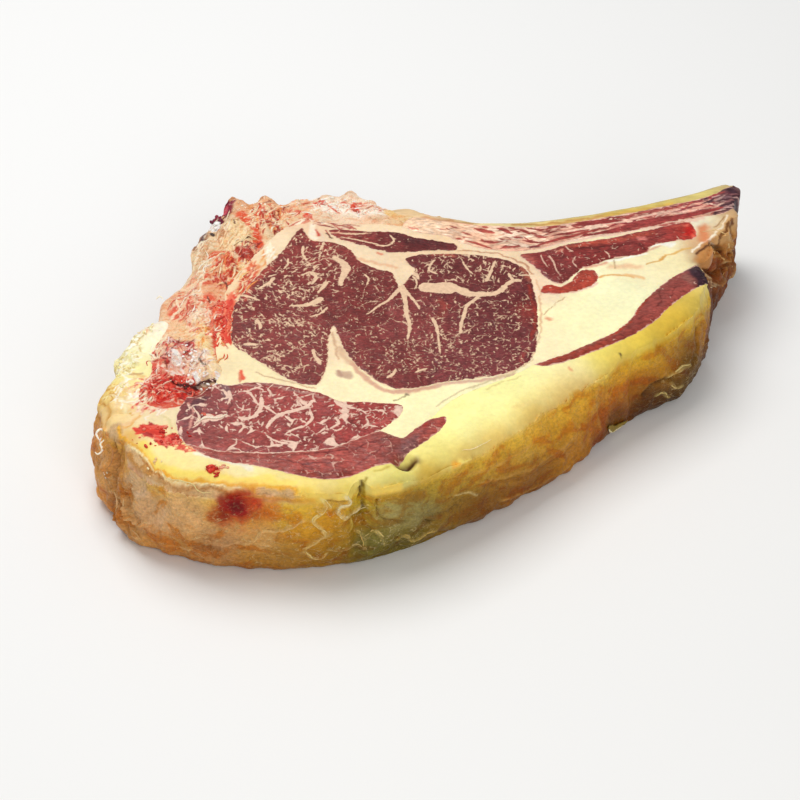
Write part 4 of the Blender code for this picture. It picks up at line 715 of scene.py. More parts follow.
def curve(points, step, closed=False, axes=2):
    """Evenly spaced points along a smooth curve; the first axes measure the way along it."""
    knots = np.array(points, float)
    if closed:
        knots = np.vstack([knots[-1], knots, knots[0], knots[1]])
    else:
        knots = np.vstack([2 * knots[0] - knots[1], knots, 2 * knots[-1] - knots[-2]])
    fine = []
    for p0, p1, p2, p3 in zip(knots, knots[1:], knots[2:], knots[3:]):
        t1 = max(np.linalg.norm((p1 - p0)[:axes]), 1e-6) ** 0.5
        t2 = t1 + max(np.linalg.norm((p2 - p1)[:axes]), 1e-6) ** 0.5
        t3 = t2 + max(np.linalg.norm((p3 - p2)[:axes]), 1e-6) ** 0.5
        t = np.linspace(t1, t2, 12, endpoint=False)[:, None]
        a1 = p0 + (p1 - p0) * t / t1
        a2 = p1 + (p2 - p1) * (t - t1) / (t2 - t1)
        a3 = p2 + (p3 - p2) * (t - t2) / (t3 - t2)
        b1 = a1 + (a2 - a1) * t / t2
        b2 = a2 + (a3 - a2) * (t - t1) / (t3 - t1)
        fine.append(b1 + (b2 - b1) * (t - t1) / (t2 - t1))
    fine = np.vstack([*fine, knots[-2]])
    run = np.concatenate([[0.0], np.cumsum(np.linalg.norm(np.diff(fine[:, :axes], axis=0), axis=1))])
    count = max(2, round(run[-1] / step))
    stops = np.linspace(0.0, run[-1], count + 1)
    if closed:
        stops = stops[:-1]
    return np.column_stack([np.interp(stops, run, column) for column in fine.T])


def lattice(cells, seed):
    """Pseudo-random numbers from -1 to 1 for whole-numbered cells, one for each axis."""
    mixed = np.zeros(len(cells), np.uint32) + np.uint32(seed * 7919 + 17)
    for axis in range(cells.shape[1]):
        mixed = (mixed ^ cells[:, axis].astype(np.uint32)) * np.uint32(2654435761)
        mixed ^= mixed >> np.uint32(15)
    numbers = []
    for _axis in range(cells.shape[1]):
        mixed = (mixed ^ (mixed >> np.uint32(13))) * np.uint32(1274126177)
        mixed ^= mixed >> np.uint32(16)
        numbers.append(mixed.astype(float) / 2147483648.0 - 1.0)
    return np.column_stack(numbers)


def corners_of(count):
    """The corners of a unit cell in that many dimensions."""
    return np.array(np.meshgrid(*[(0, 1)] * count)).reshape(count, -1).T


def lumpy(places, size, seed=0):
    """Smooth noise, about -1 to 1, with lumps about as wide as the size in mm."""
    spots = places / size
    base = np.floor(spots).astype(np.int64)
    part = spots - base
    ease = part ** 3 * (part * (part * 6 - 15) + 10)
    total = np.zeros(len(places))
    for corner in corners_of(places.shape[1]):
        weight = np.prod(np.where(corner == 1, ease, 1 - ease), axis=1)
        total += weight * np.sum(lattice(base + corner, seed) * (part - corner), axis=1)
    return total * 1.5


def craggy(places, size, layers, seed=0):
    """Noise in several layers, each half the size and half the height of the last."""
    total = np.zeros(len(places))
    for layer in range(layers):
        total += lumpy(places, size / 2 ** layer, seed + layer) / 2 ** layer
    return total


def walls(places, size, seed=0):
    """0 on the walls between scattered cells of that size, rising towards their middles."""
    spots = places / size
    base = np.floor(spots).astype(np.int64)
    nearest = np.full(len(places), 9.0)
    second = np.full(len(places), 9.0)
    for shift in np.array(np.meshgrid(*[(-1, 0, 1)] * places.shape[1])).reshape(places.shape[1], -1).T:
        cell = base + shift
        away = np.sqrt(np.sum((cell + 0.5 + 0.45 * lattice(cell, seed) - spots) ** 2, axis=1))
        second = np.where(away < nearest, nearest, np.minimum(second, away))
        nearest = np.minimum(nearest, away)
    return second - nearest


def plain_noise(places):
    """The plain noise that the solids' lumps are made of."""
    return np.array([noise.noise(Vector(place)) for place in places.tolist()])


def stirred(places, size, amount, seed):
    """Places moved about a little, so that what is drawn there gets a ragged edge."""
    moved = places.copy()
    for axis in range(2):
        moved[:, axis] += amount * lumpy(places, size, seed + 31 * axis)
    return moved


def blurred(values, reach):
    """Values round a closed loop, averaged over a few neighbours."""
    total = np.zeros_like(values)
    for shift in range(-reach, reach + 1):
        total += np.roll(values, shift, axis=0)
    return total / (2 * reach + 1)


def settled(points, fine=0.22):
    """A plan curve with the fine raggedness of cut meat."""
    shift = np.column_stack([
        0.4 * lumpy(points, 4.0, 5) + fine * lumpy(points, 1.7, 7),
        0.4 * lumpy(points, 4.0, 6) + fine * lumpy(points, 1.7, 8)])
    return points + shift


def tree_of(points):
    """Points in a form that is quick to search."""
    tree = kdtree.KDTree(len(points))
    for number, (x, y) in enumerate(points.tolist()):
        tree.insert((x, y, 0.0), number)
    tree.balance()
    return tree


def nearest_in(tree, points):
    """Number of the nearest point of the tree and its distance, for each point."""
    found = [tree.find((x, y, 0.0))[1:] for x, y in points.tolist()]
    return np.array([item[0] for item in found], int), np.array([item[1] for item in found])


class Outline:
    """The outer curves joined into one loop, with what the side does there."""

    def __init__(self, arcs):
        self.arcs = {}
        rows = []
        for name, points in arcs.items():
            sampled = curve(points, STEP_RIM)
            side = np.tile(SIDES[name], (len(sampled), 1))
            self.arcs[name] = (len(rows), len(sampled))
            rows.extend(np.hstack([sampled, side])[:-1].tolist())
        table = np.array(rows)
        plain = table[:, :2]
        ahead = blurred(np.roll(plain, -1, axis=0) - np.roll(plain, 1, axis=0), 5)
        ahead /= np.hypot(*ahead.T)[:, None]
        self.points = settled(plain)
        self.normals = np.column_stack([-ahead[:, 1], ahead[:, 0]])
        self.lean, self.roll, self.rough, self.bulge, self.tuck, self.most_in = [
            blurred(column, 7) for column in table[:, 2:].T]
        self.tree = tree_of(plain)

    def arc(self, name):
        """Indices of the points on one outer curve, both ends included."""
        first, count = self.arcs[name]
        return [(first + i) % len(self.points) for i in range(count)]

    def drop(self, places):
        """How far the cut face has rolled down at places near the edge."""
        number, away = nearest_in(self.tree, places)
        roll = self.roll[number]
        inside = np.minimum(away / (ROLL_WIDTH * roll), 1.0)
        return roll * (1.0 - np.sqrt(1.0 - (1.0 - inside) ** 2))


OUTLINE = Outline({
    "rib_back": RIB_BACK, "rib_end": RIB_END, "fat_end": FAT_END, "flank_end": FLANK_END,
    "fat_front": FAT_FRONT, "chine_side": CHINE_SIDE})


class Seam:
    """One curve of the plan map. Near its ends it follows the side's own swelling."""

    def __init__(self, points, outer=None):
        self.points = points
        if outer is not None:
            self.outer = np.array(outer)
            self.near = self.outer.copy()
            self.share = np.ones(len(points))
            return
        self.outer = np.full(len(points), -1)
        self.near = np.zeros(len(points), int)
        self.share = np.zeros(len(points))
        for end in (0, -1):
            number, away = nearest_in(OUTLINE.tree, points[end:][:1] if end else points[:1])
            if away[0] < 1.5:
                share = faded(CORNER_REACH - np.hypot(*(points - points[end]).T), 0.0, CORNER_REACH)
                self.near = np.where(share > self.share, number[0], self.near)
                self.share = np.maximum(self.share, share)


SEAMS = {name: Seam(OUTLINE.points[OUTLINE.arc(name)], OUTLINE.arc(name)) for name in OUTLINE.arcs}
for seam_name, seam_points in {
        "rib_chine": RIB_CHINE, "rib_meat": RIB_MEAT, "meat_chine": MEAT_CHINE, "meat_fat": MEAT_FAT,
        "flank_upper": FLANK_UPPER, "flank_lower": FLANK_LOWER, "fascia": FASCIA,
        "strip_inner": STRIP_INNER, "cap_inner": CAP_INNER, "cap_strip": CAP_STRIP,
        "cap_chine": CAP_CHINE, "cap_outer": CAP_OUTER, "strip_outer": STRIP_OUTER,
        "chine_inner": CHINE_INNER, "chine_left": CHINE_LEFT}.items():
    SEAMS[seam_name] = Seam(settled(curve(seam_points, STEP_RIM), 0.36))


def area_between(*names):
    """Closed loop of the named curves in turn; a leading minus runs one back."""
    rows = []
    for name in names:
        seam = SEAMS[name.lstrip("-")]
        order = -1 if name.startswith("-") else 1
        run = np.column_stack([seam.points, seam.outer, seam.near, seam.share])[::order]
        if rows and run[0, 2] >= 0:
            rows[-1] = run[0]
        rows.extend(run[1:] if rows else run)
    if rows[0][2] < 0:
        rows[0] = rows[-1]
    return np.array(rows[:-1])


def island(outline):
    """Closed loop of a muscle that touches no outer curve."""
    points = settled(curve(outline, STEP_RIM, closed=True), 0.45)
    return np.column_stack([points, np.full(len(points), -1), np.zeros((len(points), 2))])


def wound(loop, clockwise):
    """The loop, turned so that the piece lies on the right of its run."""
    x, y = loop[:, :2].T
    area = np.sum(x * np.roll(y, -1) - np.roll(x, -1) * y)
    return loop[::-1].copy() if (area < 0) != clockwise else loop


class Canvas:
    """A plan grid that holds, for each spot, how far it is outside the nearest fat vein."""

    CELL = 0.2
    LOW = np.array([-158.0, -122.0])
    HIGH = np.array([158.0, 122.0])
    REACH = 1.5

    def __init__(self):
        self.shape = np.ceil((self.HIGH - self.LOW) / self.CELL).astype(int)
        self.depth = np.full(self.shape, self.REACH)

    def stroke(self, points, widths):
        """Draws one vein as a chain of tapered pieces."""
        for a, b, wide_a, wide_b in zip(points, points[1:], widths, widths[1:]):
            margin = self.REACH + max(wide_a, wide_b) / 2
            low = np.maximum(((np.minimum(a, b) - margin - self.LOW) / self.CELL).astype(int), 0)
            high = np.minimum(
                ((np.maximum(a, b) + margin - self.LOW) / self.CELL).astype(int) + 1, self.shape)
            x = (self.LOW[0] + (np.arange(low[0], high[0]) + 0.5) * self.CELL)[:, None]
            y = (self.LOW[1] + (np.arange(low[1], high[1]) + 0.5) * self.CELL)[None, :]
            run = b - a
            t = ((x - a[0]) * run[0] + (y - a[1]) * run[1]) / max(run @ run, 1e-9)
            t = np.clip(t, 0.0, 1.0)
            away = np.hypot(x - a[0] - t * run[0], y - a[1] - t * run[1])
            away -= (wide_a + t * (wide_b - wide_a)) / 2
            part = self.depth[low[0]:high[0], low[1]:high[1]]
            np.minimum(part, away, out=part)

    def read(self, places):
        """The grid's value at places, blended between its cells."""
        spots = np.clip((places - self.LOW) / self.CELL - 0.5, 0, self.shape - 1.001)
        cell = spots.astype(int)
        part = spots - cell
        total = 0.0
        for corner in corners_of(2):
            weight = np.prod(np.where(corner == 1, part, 1 - part), axis=1)
            total = total + weight * self.depth[cell[:, 0] + corner[0], cell[:, 1] + corner[1]]
        return total


def drawn_veins():
    """The canvas with the big veins and all the flecks of marbling on it."""
    canvas = Canvas()
    chance = np.random.default_rng(7)
    for first, last, *points in VEINS:
        line = curve(points, 0.8)
        share = np.linspace(0.0, 1.0, len(line))
        widths = first + (last - first) * share
        widths *= 1.0 + 0.35 * lumpy(line, 2.0, 21)
        widths *= np.clip(np.minimum(share, 1 - share) * len(line) * 0.5 + 0.35, 0, 1)
        canvas.stroke(line, widths)
    for x, y, half_x, half_y, count, short, long, thin, thick, heading, stray in MARBLING:
        for _number in range(count):
            line = [spot_in(chance, x, y, half_x, half_y)]
            angle = math.radians(heading + chance.normal(0, stray))
            length = short + (long - short) * chance.uniform(0, 1) ** 1.8
            width = thin + (thick - thin) * chance.uniform(0, 1) ** 1.6
            steps = max(2, round(length / 0.8))
            for _step in range(steps):
                angle += chance.normal(0, 0.38)
                line.append(line[-1] + 0.8 * toward(angle))
            share = np.linspace(0.0, 1.0, len(line))
            canvas.stroke(np.array(line), width * np.sin(math.pi * (0.12 + 0.76 * share)) ** 0.7)
            if chance.uniform(0, 1) < 0.16 and steps > 2:
                side = angle + chance.choice([-1, 1]) * chance.uniform(0.7, 1.4)
                branch = [line[steps // 2]]
                for _step in range(max(1, steps // 2)):
                    branch.append(branch[-1] + 0.7 * toward(side))
                canvas.stroke(np.array(branch), np.linspace(width, 0.3, len(branch)))
    return canvas


def strokes_of(rows, seed):
    """Short bent strokes scattered over patches: rise, colour, half width and points."""
    chance = np.random.default_rng(seed)
    strokes = []
    for x, y, half_x, half_y, count, heading, stray, short, long, thin, thick, *colours in rows:
        for _number in range(count):
            middle = spot_in(chance, x, y, half_x, half_y)
            angle = math.radians(heading + chance.normal(0, stray))
            bend = chance.normal(0, 0.35)
            half = chance.uniform(short, long) / 2
            back = middle - half * toward(angle + bend)
            line = np.array([back, middle, middle + half * toward(angle - bend)])
            colour = colours[chance.integers(len(colours))]
            strokes.append((chance.uniform(-0.35, 0.6), colour, chance.uniform(thin, thick) / 2, line))
    return strokes


def close_by(plan, line, margin):
    """Numbers of the places in the box round a line, a margin wider all round."""
    low = line.min(axis=0) - margin
    high = line.max(axis=0) + margin
    return np.flatnonzero(np.all((plan > low) & (plan < high), axis=1))


def gap_to(places, a, b):
    """The way to each place from the nearest point of a straight run, and how far along it that is."""
    run = b - a
    share = np.clip((places - a) @ run / max(run @ run, 1e-9), 0.0, 1.0)
    return places - a - share[:, None] * run, share


def under(plan, line, half, soft):
    """Which places lie under a tapered stroke, and how much of it covers each."""
    near = close_by(plan, line, half + soft)
    best = np.full(len(near), -9.0)
    for step, (a, b) in enumerate(zip(line, line[1:])):
        gap, along = gap_to(plan[near], a, b)
        share = 2.0 * (step + along) / (len(line) - 1) - 1.0
        best = np.maximum(best, half * (1.0 - 0.7 * share ** 2) - np.hypot(*gap.T))
    return near, faded(best + soft, 0.0, 2 * soft)


class Paint:
    """Colour of every point of a piece, laid on in coats."""

    def __init__(self, places, tints):
        self.still = places[:, :2].copy()
        self.places = stirred(places, 5.0, 1.2, 41)
        self.places = stirred(self.places, 1.8, 0.5, 43)
        rows = np.array([row[:4] for row in tints], float)
        colours = np.array([linear(row[4]) for row in tints])
        closeness = np.empty((len(places), len(rows)))
        for number, (x, y, z, reach) in enumerate(rows):
            away = np.sum((self.places - (x, y, z)) ** 2, axis=1)
            closeness[:, number] = -away / (1.2 * reach) ** 2
        closeness -= closeness.max(axis=1)[:, None]
        weight = np.exp(closeness)
        self.colour = weight @ colours / weight.sum(axis=1)[:, None]

    def lay(self, near, shade, cover):
        """A linear colour laid over some places, as thick as it covers each."""
        self.colour[near] += (shade - self.colour[near]) * cover[:, None]

    def coat(self, colour, width, soft, *points, lowest=-99.0):
        """One stroke of a colour along a curve, through all of the thickness above a level."""
        line = curve(points, 1.0)
        plan = self.places[:, :2]
        near = close_by(plan, line, width / 2 + soft)
        away = np.full(len(near), 99.0)
        for a, b in zip(line, line[1:]):
            away = np.minimum(away, np.hypot(*gap_to(plan[near], a, b)[0].T))
        cover = faded(width / 2 + soft - away, 0.0, 2 * soft)
        cover *= faded(self.places[near, 2], lowest, lowest + 2.0)
        self.lay(near, linear(colour), cover)
        return near, cover

    def shred(self, strokes, lowest):
        """Many fine strokes above a level, each laid over the last."""
        high = faded(self.places[:, 2], lowest, lowest + 4.0)
        for _rise, colour, half, line in strokes:
            near, cover = under(self.still, line, half, 0.25)
            self.lay(near, linear(colour), cover * high[near])

    def spot(self, x, y, z, reach, soft, colour, strength):
        """A round patch of a colour at a place on the side."""
        away = np.sqrt(np.sum((self.places - (x, y, z)) ** 2, axis=1))
        away += 0.2 * reach * craggy(self.places, 3.0, 2, 45)
        self.lay(slice(None), linear(colour), strength * faded(reach + soft - away, 0.0, 2 * soft))


def side_out(index, level, z):
    """How far the side stands out past the outline, as the solids have it."""
    x, y = OUTLINE.points[index].T
    out = OUTLINE.lean[index] * (1.0 - level)
    out = out - OUTLINE.tuck[index] * np.maximum(0.0, 1.0 - z / TUCK_HEIGHT) ** 2
    out += OUTLINE.bulge[index] * np.sin(math.pi * level)
    out += 1.6 * OUTLINE.rough[index] * plain_noise(np.column_stack([x, y, 0.7 * z]) / ROUGH_SCALE)
    for fold_x, fold_y, half, depth, lowest in FOLDS:
        rise = np.clip((z - lowest) / 12.0, 0.0, 1.0) if lowest else 1.0
        out -= depth * peak(np.hypot(x - fold_x, y - fold_y), half) * rise
    for swell_x, swell_y, half, size, middle in SWELLINGS:
        out += size * peak(np.hypot(x - swell_x, y - swell_y), half) * peak(z - middle, 14.0)
    return np.maximum(out, -OUTLINE.most_in[index])


def near_any(places, rows):
    """How much places belong to some rounded patches, from 0 to 1."""
    total = np.zeros(len(places))
    for x, y, z, reach in rows:
        away = np.sum((places - (x, y, z)) ** 2, axis=1) / reach ** 2
        total = np.maximum(total, np.exp(-away))
    return total


# Patches of the side: x, y, level and reach. The corner is at the left end of the fat.
WEBBED = [
    (-62, -117, 26, 15), (-46, -116, 30, 13), (-32, -114, 34, 13), (-22, -110, 14, 14),
    (-50, -117, 12, 13), (-10, -105, 8, 10), (116, 5, 10, 14), (128, 22, 14, 10), (-141, -84, 16, 10)]
SMOOTH_SIDE = [(20, -85, 26, 24), (44, -64, 26, 24), (64, -43, 26, 22), (84, -26, 30, 18)]
PEELING = [(-104, -111, 20, 24), (-132, -94, 24, 18), (-80, -116, 16, 18)]
RUMPLED = [
    (-147, -68, 22, 17), (-139, -88, 16, 15), (-148, -50, 38, 10), (147, 74, 24, 17), (137, 58, 24, 13),
    (150, 90, 24, 11)]
CRUMBLY = [(-138, -10, 44, 16), (-143, -28, 40, 14), (-147, -40, 38, 10), (-132, 2, 44, 9)]

LEFT_CORNER = (-142, -60)


def beside(places, normals, points):
    """How far places on the side are from a line there, measured in the surface."""
    line = np.array(points, float)
    best = np.full(len(places), 99.0)
    for a, b in zip(line, line[1:]):
        gap, _along = gap_to(places, a, b)
        depth = np.sum(gap * normals, axis=1)
        away = np.linalg.norm(gap - normals * depth[:, None], axis=1)
        best = np.minimum(best, np.where(np.abs(depth) < 6.0, away, 99.0))
    return best


def lobes_of(places):
    """0 in the grooves between the lobes of rumpled skin, and more on them."""
    return np.sqrt(np.abs(lumpy(stirred(places * (1.0, 1.0, 0.7), 7.0, 2.0, 67), 9.0, 68)))


def side_relief(places, normals):
    """Fine wrinkles, webs and crumbs of the side, in mm out from it, and where its webs are."""
    webbed = near_any(places, WEBBED)
    smooth = near_any(places, SMOOTH_SIDE)
    peeling = near_any(places, PEELING)
    bony = faded(places[:, 1], 84.0, 92.0) * faded(-places[:, 0], -30.0, 20.0)
    drawn_out = places * (1.0, 1.0, 1.7)
    relief = (0.75 - 0.55 * smooth) * lumpy(places, 7.0, 51)
    relief += (0.4 - 0.25 * smooth) * lumpy(places, 3.0, 52)
    ridge = peak(walls(stirred(drawn_out, 5.0, 2.2, 53), 11.0, 54), 0.1)
    fine_ridge = peak(walls(stirred(drawn_out, 3.0, 1.2, 55), 5.0, 56), 0.14)
    relief += webbed * (0.5 * ridge + 0.3 * fine_ridge - 0.2)
    relief += peeling * (0.35 * fine_ridge + 0.5 * lumpy(drawn_out, 2.2, 69))
    shaken = stirred(places, 4.0, 1.0, 65)
    for height, half, _colour, _strength, *points in SIDE_LINES:
        relief += height * peak(beside(shaken, normals, points), 0.75 * half)
    slanted = places @ np.array([[0.6, -0.4, 0], [0.5, 0.3, 0], [0.5, 1.1, 0]])
    relief -= 0.4 * peak(lumpy(stirred(slanted, 4.0, 1.0, 57), 5.0, 58), 0.14) * smooth
    relief += peeling * 0.55 * peak(lumpy(drawn_out, 4.5, 59), 0.13)
    relief += near_any(places, CRUMBLY) * 1.1 * craggy(places, 2.6, 2, 61)
    relief += near_any(places, RUMPLED) * (3.6 * lobes_of(places) - 1.5)
    relief += bony * 0.9 * craggy(places, 3.4, 2, 63)
    return relief, np.clip(np.maximum(webbed, 0.7 * peeling) * (ridge + 0.6 * fine_ridge), 0, 1)


def cut_face(places, rise, lumps, scale, edge):
    """Height of the cut face: the solids' own, brought together along the seams."""
    flat = np.column_stack([places, np.full(len(places), LUMP_LEVEL)])
    shared = 0.45 * plain_noise(flat / 14.0)
    own = rise + 1.5 * lumps * plain_noise(flat / scale)
    z = THICKNESS - OUTLINE.drop(places) + shared + (own - shared) * (1.0 - peak(edge, 2.2))
    for pit_x, pit_y, radius, depth in PITS:
        away = np.hypot(*(places - (pit_x, pit_y)).T) / radius
        z -= depth * np.clip(1.0 - away ** 2, 0.0, 1.0) ** 2
    return z - 0.3 * peak(edge, 0.8)


def filling(loops, spacing, chance):
    """Points on a staggered, slightly shaken grid inside the loops."""
    low = loops[0].min(axis=0)
    high = loops[0].max(axis=0)
    starts = np.vstack(loops)
    ends = np.vstack([np.roll(loop, -1, axis=0) for loop in loops])
    spots = []
    for row, y in enumerate(np.arange(low[1] + spacing / 2, high[1], spacing * 0.866)):
        hit = (starts[:, 1] > y) != (ends[:, 1] > y)
        x1, y1 = starts[hit].T
        x2, y2 = ends[hit].T
        crossings = np.sort(x1 + (y - y1) * (x2 - x1) / (y2 - y1))
        for left, right in zip(crossings[::2], crossings[1::2]):
            shift = (row % 2) * spacing / 2
            steps = np.arange(math.ceil((left - shift) / spacing), (right - shift) / spacing)
            spots.append(np.column_stack([shift + steps * spacing, np.full(len(steps), y)]))
    spots = np.vstack(spots)
    spots += chance.uniform(-0.12, 0.12, spots.shape) * spacing
    rim = np.vstack([starts, (starts + ends) / 2])
    _number, away = nearest_in(tree_of(rim), spots)
    return spots[away > min(0.42, 0.5 * spacing)]


def inside(spots, loops):
    """Which of the spots lie inside the first loop and outside the others."""
    result = np.zeros(len(spots), bool)
    for loop in loops:
        x1, y1 = loop.T
        x2, y2 = np.roll(loop, -1, axis=0).T
        for start in range(0, len(spots), 500):
            px, py = spots[start:start + 500].T[:, :, None]
            crosses = (y1 > py) != (y2 > py)
            at = x1 + (py - y1) * (x2 - x1) / np.where(y2 == y1, 1.0, y2 - y1)
            result[start:start + 500] ^= (np.sum(crosses & (px < at), axis=1) % 2).astype(bool)
    return result


def triangles(loops, extra):
    """Triangles over the area of the loops, as triples of point numbers."""
    points = np.vstack([*loops, extra])
    edges = []
    start = 0
    for loop in loops:
        edges += [(start + i, start + (i + 1) % len(loop)) for i in range(len(loop))]
        start += len(loop)
    found = delaunay_2d_cdt([Vector(point) for point in points.tolist()], edges, [], 0, 1e-7)
    if len(found[0]) != len(points):
        raise ValueError("two outlines of a piece cross")
    faces = np.array(found[2])
    names = np.array([group[0] for group in found[3]])
    faces = names[faces]
    rim_only = np.all(faces < start, axis=1)
    middles = points[faces[rim_only]].mean(axis=1)
    keep = np.ones(len(faces), bool)
    keep[np.flatnonzero(rim_only)] = inside(middles, loops)
    return faces[keep]


def joined_columns(left, right):
    """Triangles between two upright rows of point numbers, from the foot up."""
    if len(left) == len(right):
        lower = np.column_stack([left[:-1], left[1:], right[:-1]])
        upper = np.column_stack([left[1:], right[1:], right[:-1]])
        return np.vstack([lower, upper])
    faces = []
    i = 0
    j = 0
    while i < len(left) - 1 or j < len(right) - 1:
        up_left = (i + 1) / (len(left) - 1) if i < len(left) - 1 else 2.0
        up_right = (j + 1) / (len(right) - 1) if j < len(right) - 1 else 2.0
        if up_left <= up_right:
            faces.append((left[i], left[i + 1], right[j]))
            i += 1
        else:
            faces.append((left[i], right[j + 1], right[j]))
            j += 1
    return np.array(faces)


def fat_net(places, size, thin, seed):
    """How far places are from a broken net of fat veins with cells of that size."""
    bent = stirred(stirred(places, 9.0, 3.0, seed), 2.6, 0.8, seed + 3)
    thickness = thin * (0.35 + 1.5 * lumpy(places, 6.0, seed + 7))
    return walls(bent, size, seed + 5) * size / 2 - thickness


VEIN_CANVAS = drawn_veins()
SHOWN = []


class Slab:
    """One piece of the steak, from its loops to its finished mesh."""

    def __init__(self, name, loops, spacing, relief, rise=0.0, lumps=0.3, scale=14.0, nets=()):
        chance = np.random.default_rng(len(name) * 13 + len(loops))
        self.name = name
        loops = [wound(loop, number == 0) for number, loop in enumerate(loops)]
        seams = np.vstack([loop[loop[:, 2] < 0, :2] for loop in loops] + [np.full((1, 2), FAR)])
        seam_tree = tree_of(seams)
        places = []
        followed = []
        shares = []
        faces = []
        tops = []
        feet = []
        total = 0
        for loop in loops:
            near = loop[:, 3].astype(int)
            top_out = side_out(near, np.ones(len(near)), np.full(len(near), THICKNESS))
            rim = loop[:, :2] + OUTLINE.normals[near] * (loop[:, 4] * top_out)[:, None]
            _number, edge = nearest_in(seam_tree, rim)
            columns = []
            for row, height in zip(loop, cut_face(rim, rise, lumps, scale, edge)):
                levels = np.array(SEAM_LEVELS) if row[2] < 0 else np.linspace(0.0, 1.0, SIDE_COUNT)
                places.append(np.column_stack([np.tile(row[:2], (len(levels), 1)), levels * height]))
                followed.append(np.full(len(levels), int(row[3])))
                shares.append(np.full(len(levels), row[4]))
                columns.append(np.arange(total, total + len(levels)))
                total += len(levels)
            tops.append([column[-1] for column in columns])
            feet.append([column[0] for column in columns])
            for left, right in zip(columns, columns[1:] + columns[:1]):
                faces.append(joined_columns(left, right))
        places = np.vstack(places)
        self.shape_side(places, np.concatenate(followed), np.concatenate(shares))
        roof_rims = [places[rim, :2] for rim in tops]
        foot_rims = [places[rim, :2] for rim in feet]
        roof = filling(roof_rims, spacing, chance)
        _number, edge = nearest_in(seam_tree, roof)
        height = cut_face(roof, rise, lumps, scale, edge)
        _number, inward = nearest_in(tree_of(roof_rims[0]), roof)
        height += relief(roof) * (1.0 - peak(edge, 1.2)) * faded(inward, 0.0, 2.5)
        sole = filling(foot_rims, SOLE_SPACING, chance)
        _number, edge = nearest_in(seam_tree, sole)
        sole_height = 0.22 + 0.12 * lumpy(sole, 6.0, 71) - 0.15 * peak(edge, 1.2)
        numbers = np.concatenate([*tops, total + np.arange(len(roof))])
        faces.append(numbers[triangles(roof_rims, roof)])
        total += len(roof)
        numbers = np.concatenate([*feet, total + np.arange(len(sole))])
        faces.append(numbers[triangles(foot_rims, sole)][:, ::-1])
        self.faces = np.vstack(faces)
        self.places = np.vstack([
            places, np.column_stack([roof, height]), np.column_stack([sole, sole_height])])
        grown = len(self.places) - len(places)
        self.side = np.concatenate([self.side, np.zeros(grown)])
        self.web = np.concatenate([self.web, np.zeros(grown)])
        self.normals = np.vstack([self.normals, np.zeros((grown, 3))])
        _number, self.edge = nearest_in(seam_tree, self.places[:, :2])
        self.vein = self.veins_at(nets)

    def shape_side(self, places, followed, shares):
        """Moves the upright columns out to the side's own shape, wrinkles and all."""
        self.web = np.zeros(len(places))
        self.side = (shares == 1.0).astype(float)
        self.normals = np.column_stack([OUTLINE.normals[followed], np.zeros(len(places))])
        moving = shares > 0
        if not np.any(moving):
            return
        index = followed[moving]
        z = places[moving, 2]
        level = np.clip(z / (THICKNESS - OUTLINE.roll[index]), 0.0, 1.0)
        away = self.normals[moving]
        out = side_out(index, level, z)
        base = np.column_stack([OUTLINE.points[index], z])
        wrinkles, self.web[moving] = side_relief(base + away * out[:, None], away)
        out += wrinkles * faded(z, 0.0, 2.0) * (1.0 - 0.5 * faded(level, 0.85, 1.0))
        places[moving] += away * (shares[moving] * out)[:, None]
        self.web *= self.side

    def veins_at(self, nets):
        """How far each point is outside the nearest fat vein; the veins drift a little going down."""
        plan = self.places[:, :2].copy()
        drift = 6.0 * (1.0 - self.places[:, 2] / THICKNESS)
        plan += np.column_stack([drift * lumpy(plan, 30.0, 81), drift * lumpy(plan, 30.0, 82)])
        away = VEIN_CANVAS.read(stirred(plan, 1.6, 0.28, 83))
        for size, thin, seed in nets:
            away = np.minimum(away, fat_net(plan, size, thin, seed))
        return away

    def paint(self, tints, coats=(), strokes=(), rims=(), lowest=-99.0, light=(1.0, 1.0, 1.0),
              skin_light=(1.0, 1.0, 1.0)):
        """Lays on tints, coats and strokes, then the light, the rims and the lines of the side, with
        painted shade in the side's dark creases and in the grooves of rumpled skin.
        """
        paint = Paint(self.places, tints)
        for coat in coats:
            paint.coat(*coat, lowest=lowest)
        paint.shred(strokes, lowest)
        self.skin = self.side * (1.0 - faded(self.places[:, 2], 38.0, 44.0))
        paint.colour *= np.array(light) + (np.array(skin_light) - light) * self.skin[:, None]
        for colour, width, soft, skin, *points in rims:
            near, cover = paint.coat(colour, width, soft, *points, lowest=RIM_LEVEL)
            self.skin[near] = np.maximum(self.skin[near], skin * cover)
        near = np.flatnonzero(self.side)
        if len(near):
            there = self.places[near]
            shaken = stirred(there, 4.0, 1.0, 65)
            # The lines of the side; the dark browns of its creases are painted shade.
            for _height, half, colour, strength, *points in SIDE_LINES:
                away = beside(shaken, self.normals[near], points)
                paint.lay(near, linear(colour) * LINE_LIGHT, 0.9 * strength * peak(away, 0.62 * half))
            # Painted shade: the grooves between the lobes of rumpled skin are darkened.
            groove = near_any(there, RUMPLED) * (1.0 - faded(lobes_of(there), 0.1, 0.6))
            paint.colour[near] *= 1.0 - groove[:, None] * GROOVE_SHADE
        return paint

    def finish(self, colour, finish, slot, depth=0.0):
        """The mesh with its colours, its material and its place in the frame."""
        if depth:
            self.places[:, 2] += depth * (self.places[:, 2] > TOP_LEVEL) * faded(-self.vein, -0.3, 0.3)
        made = mesh_piece(self.name + "_look", self.places, self.faces, {
            "vein": self.vein, "edge": self.edge, "skin": self.skin, "web": self.web}, colour, finish)
        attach(made, "root")
        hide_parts(self.name)
        SHOWN.append(made)


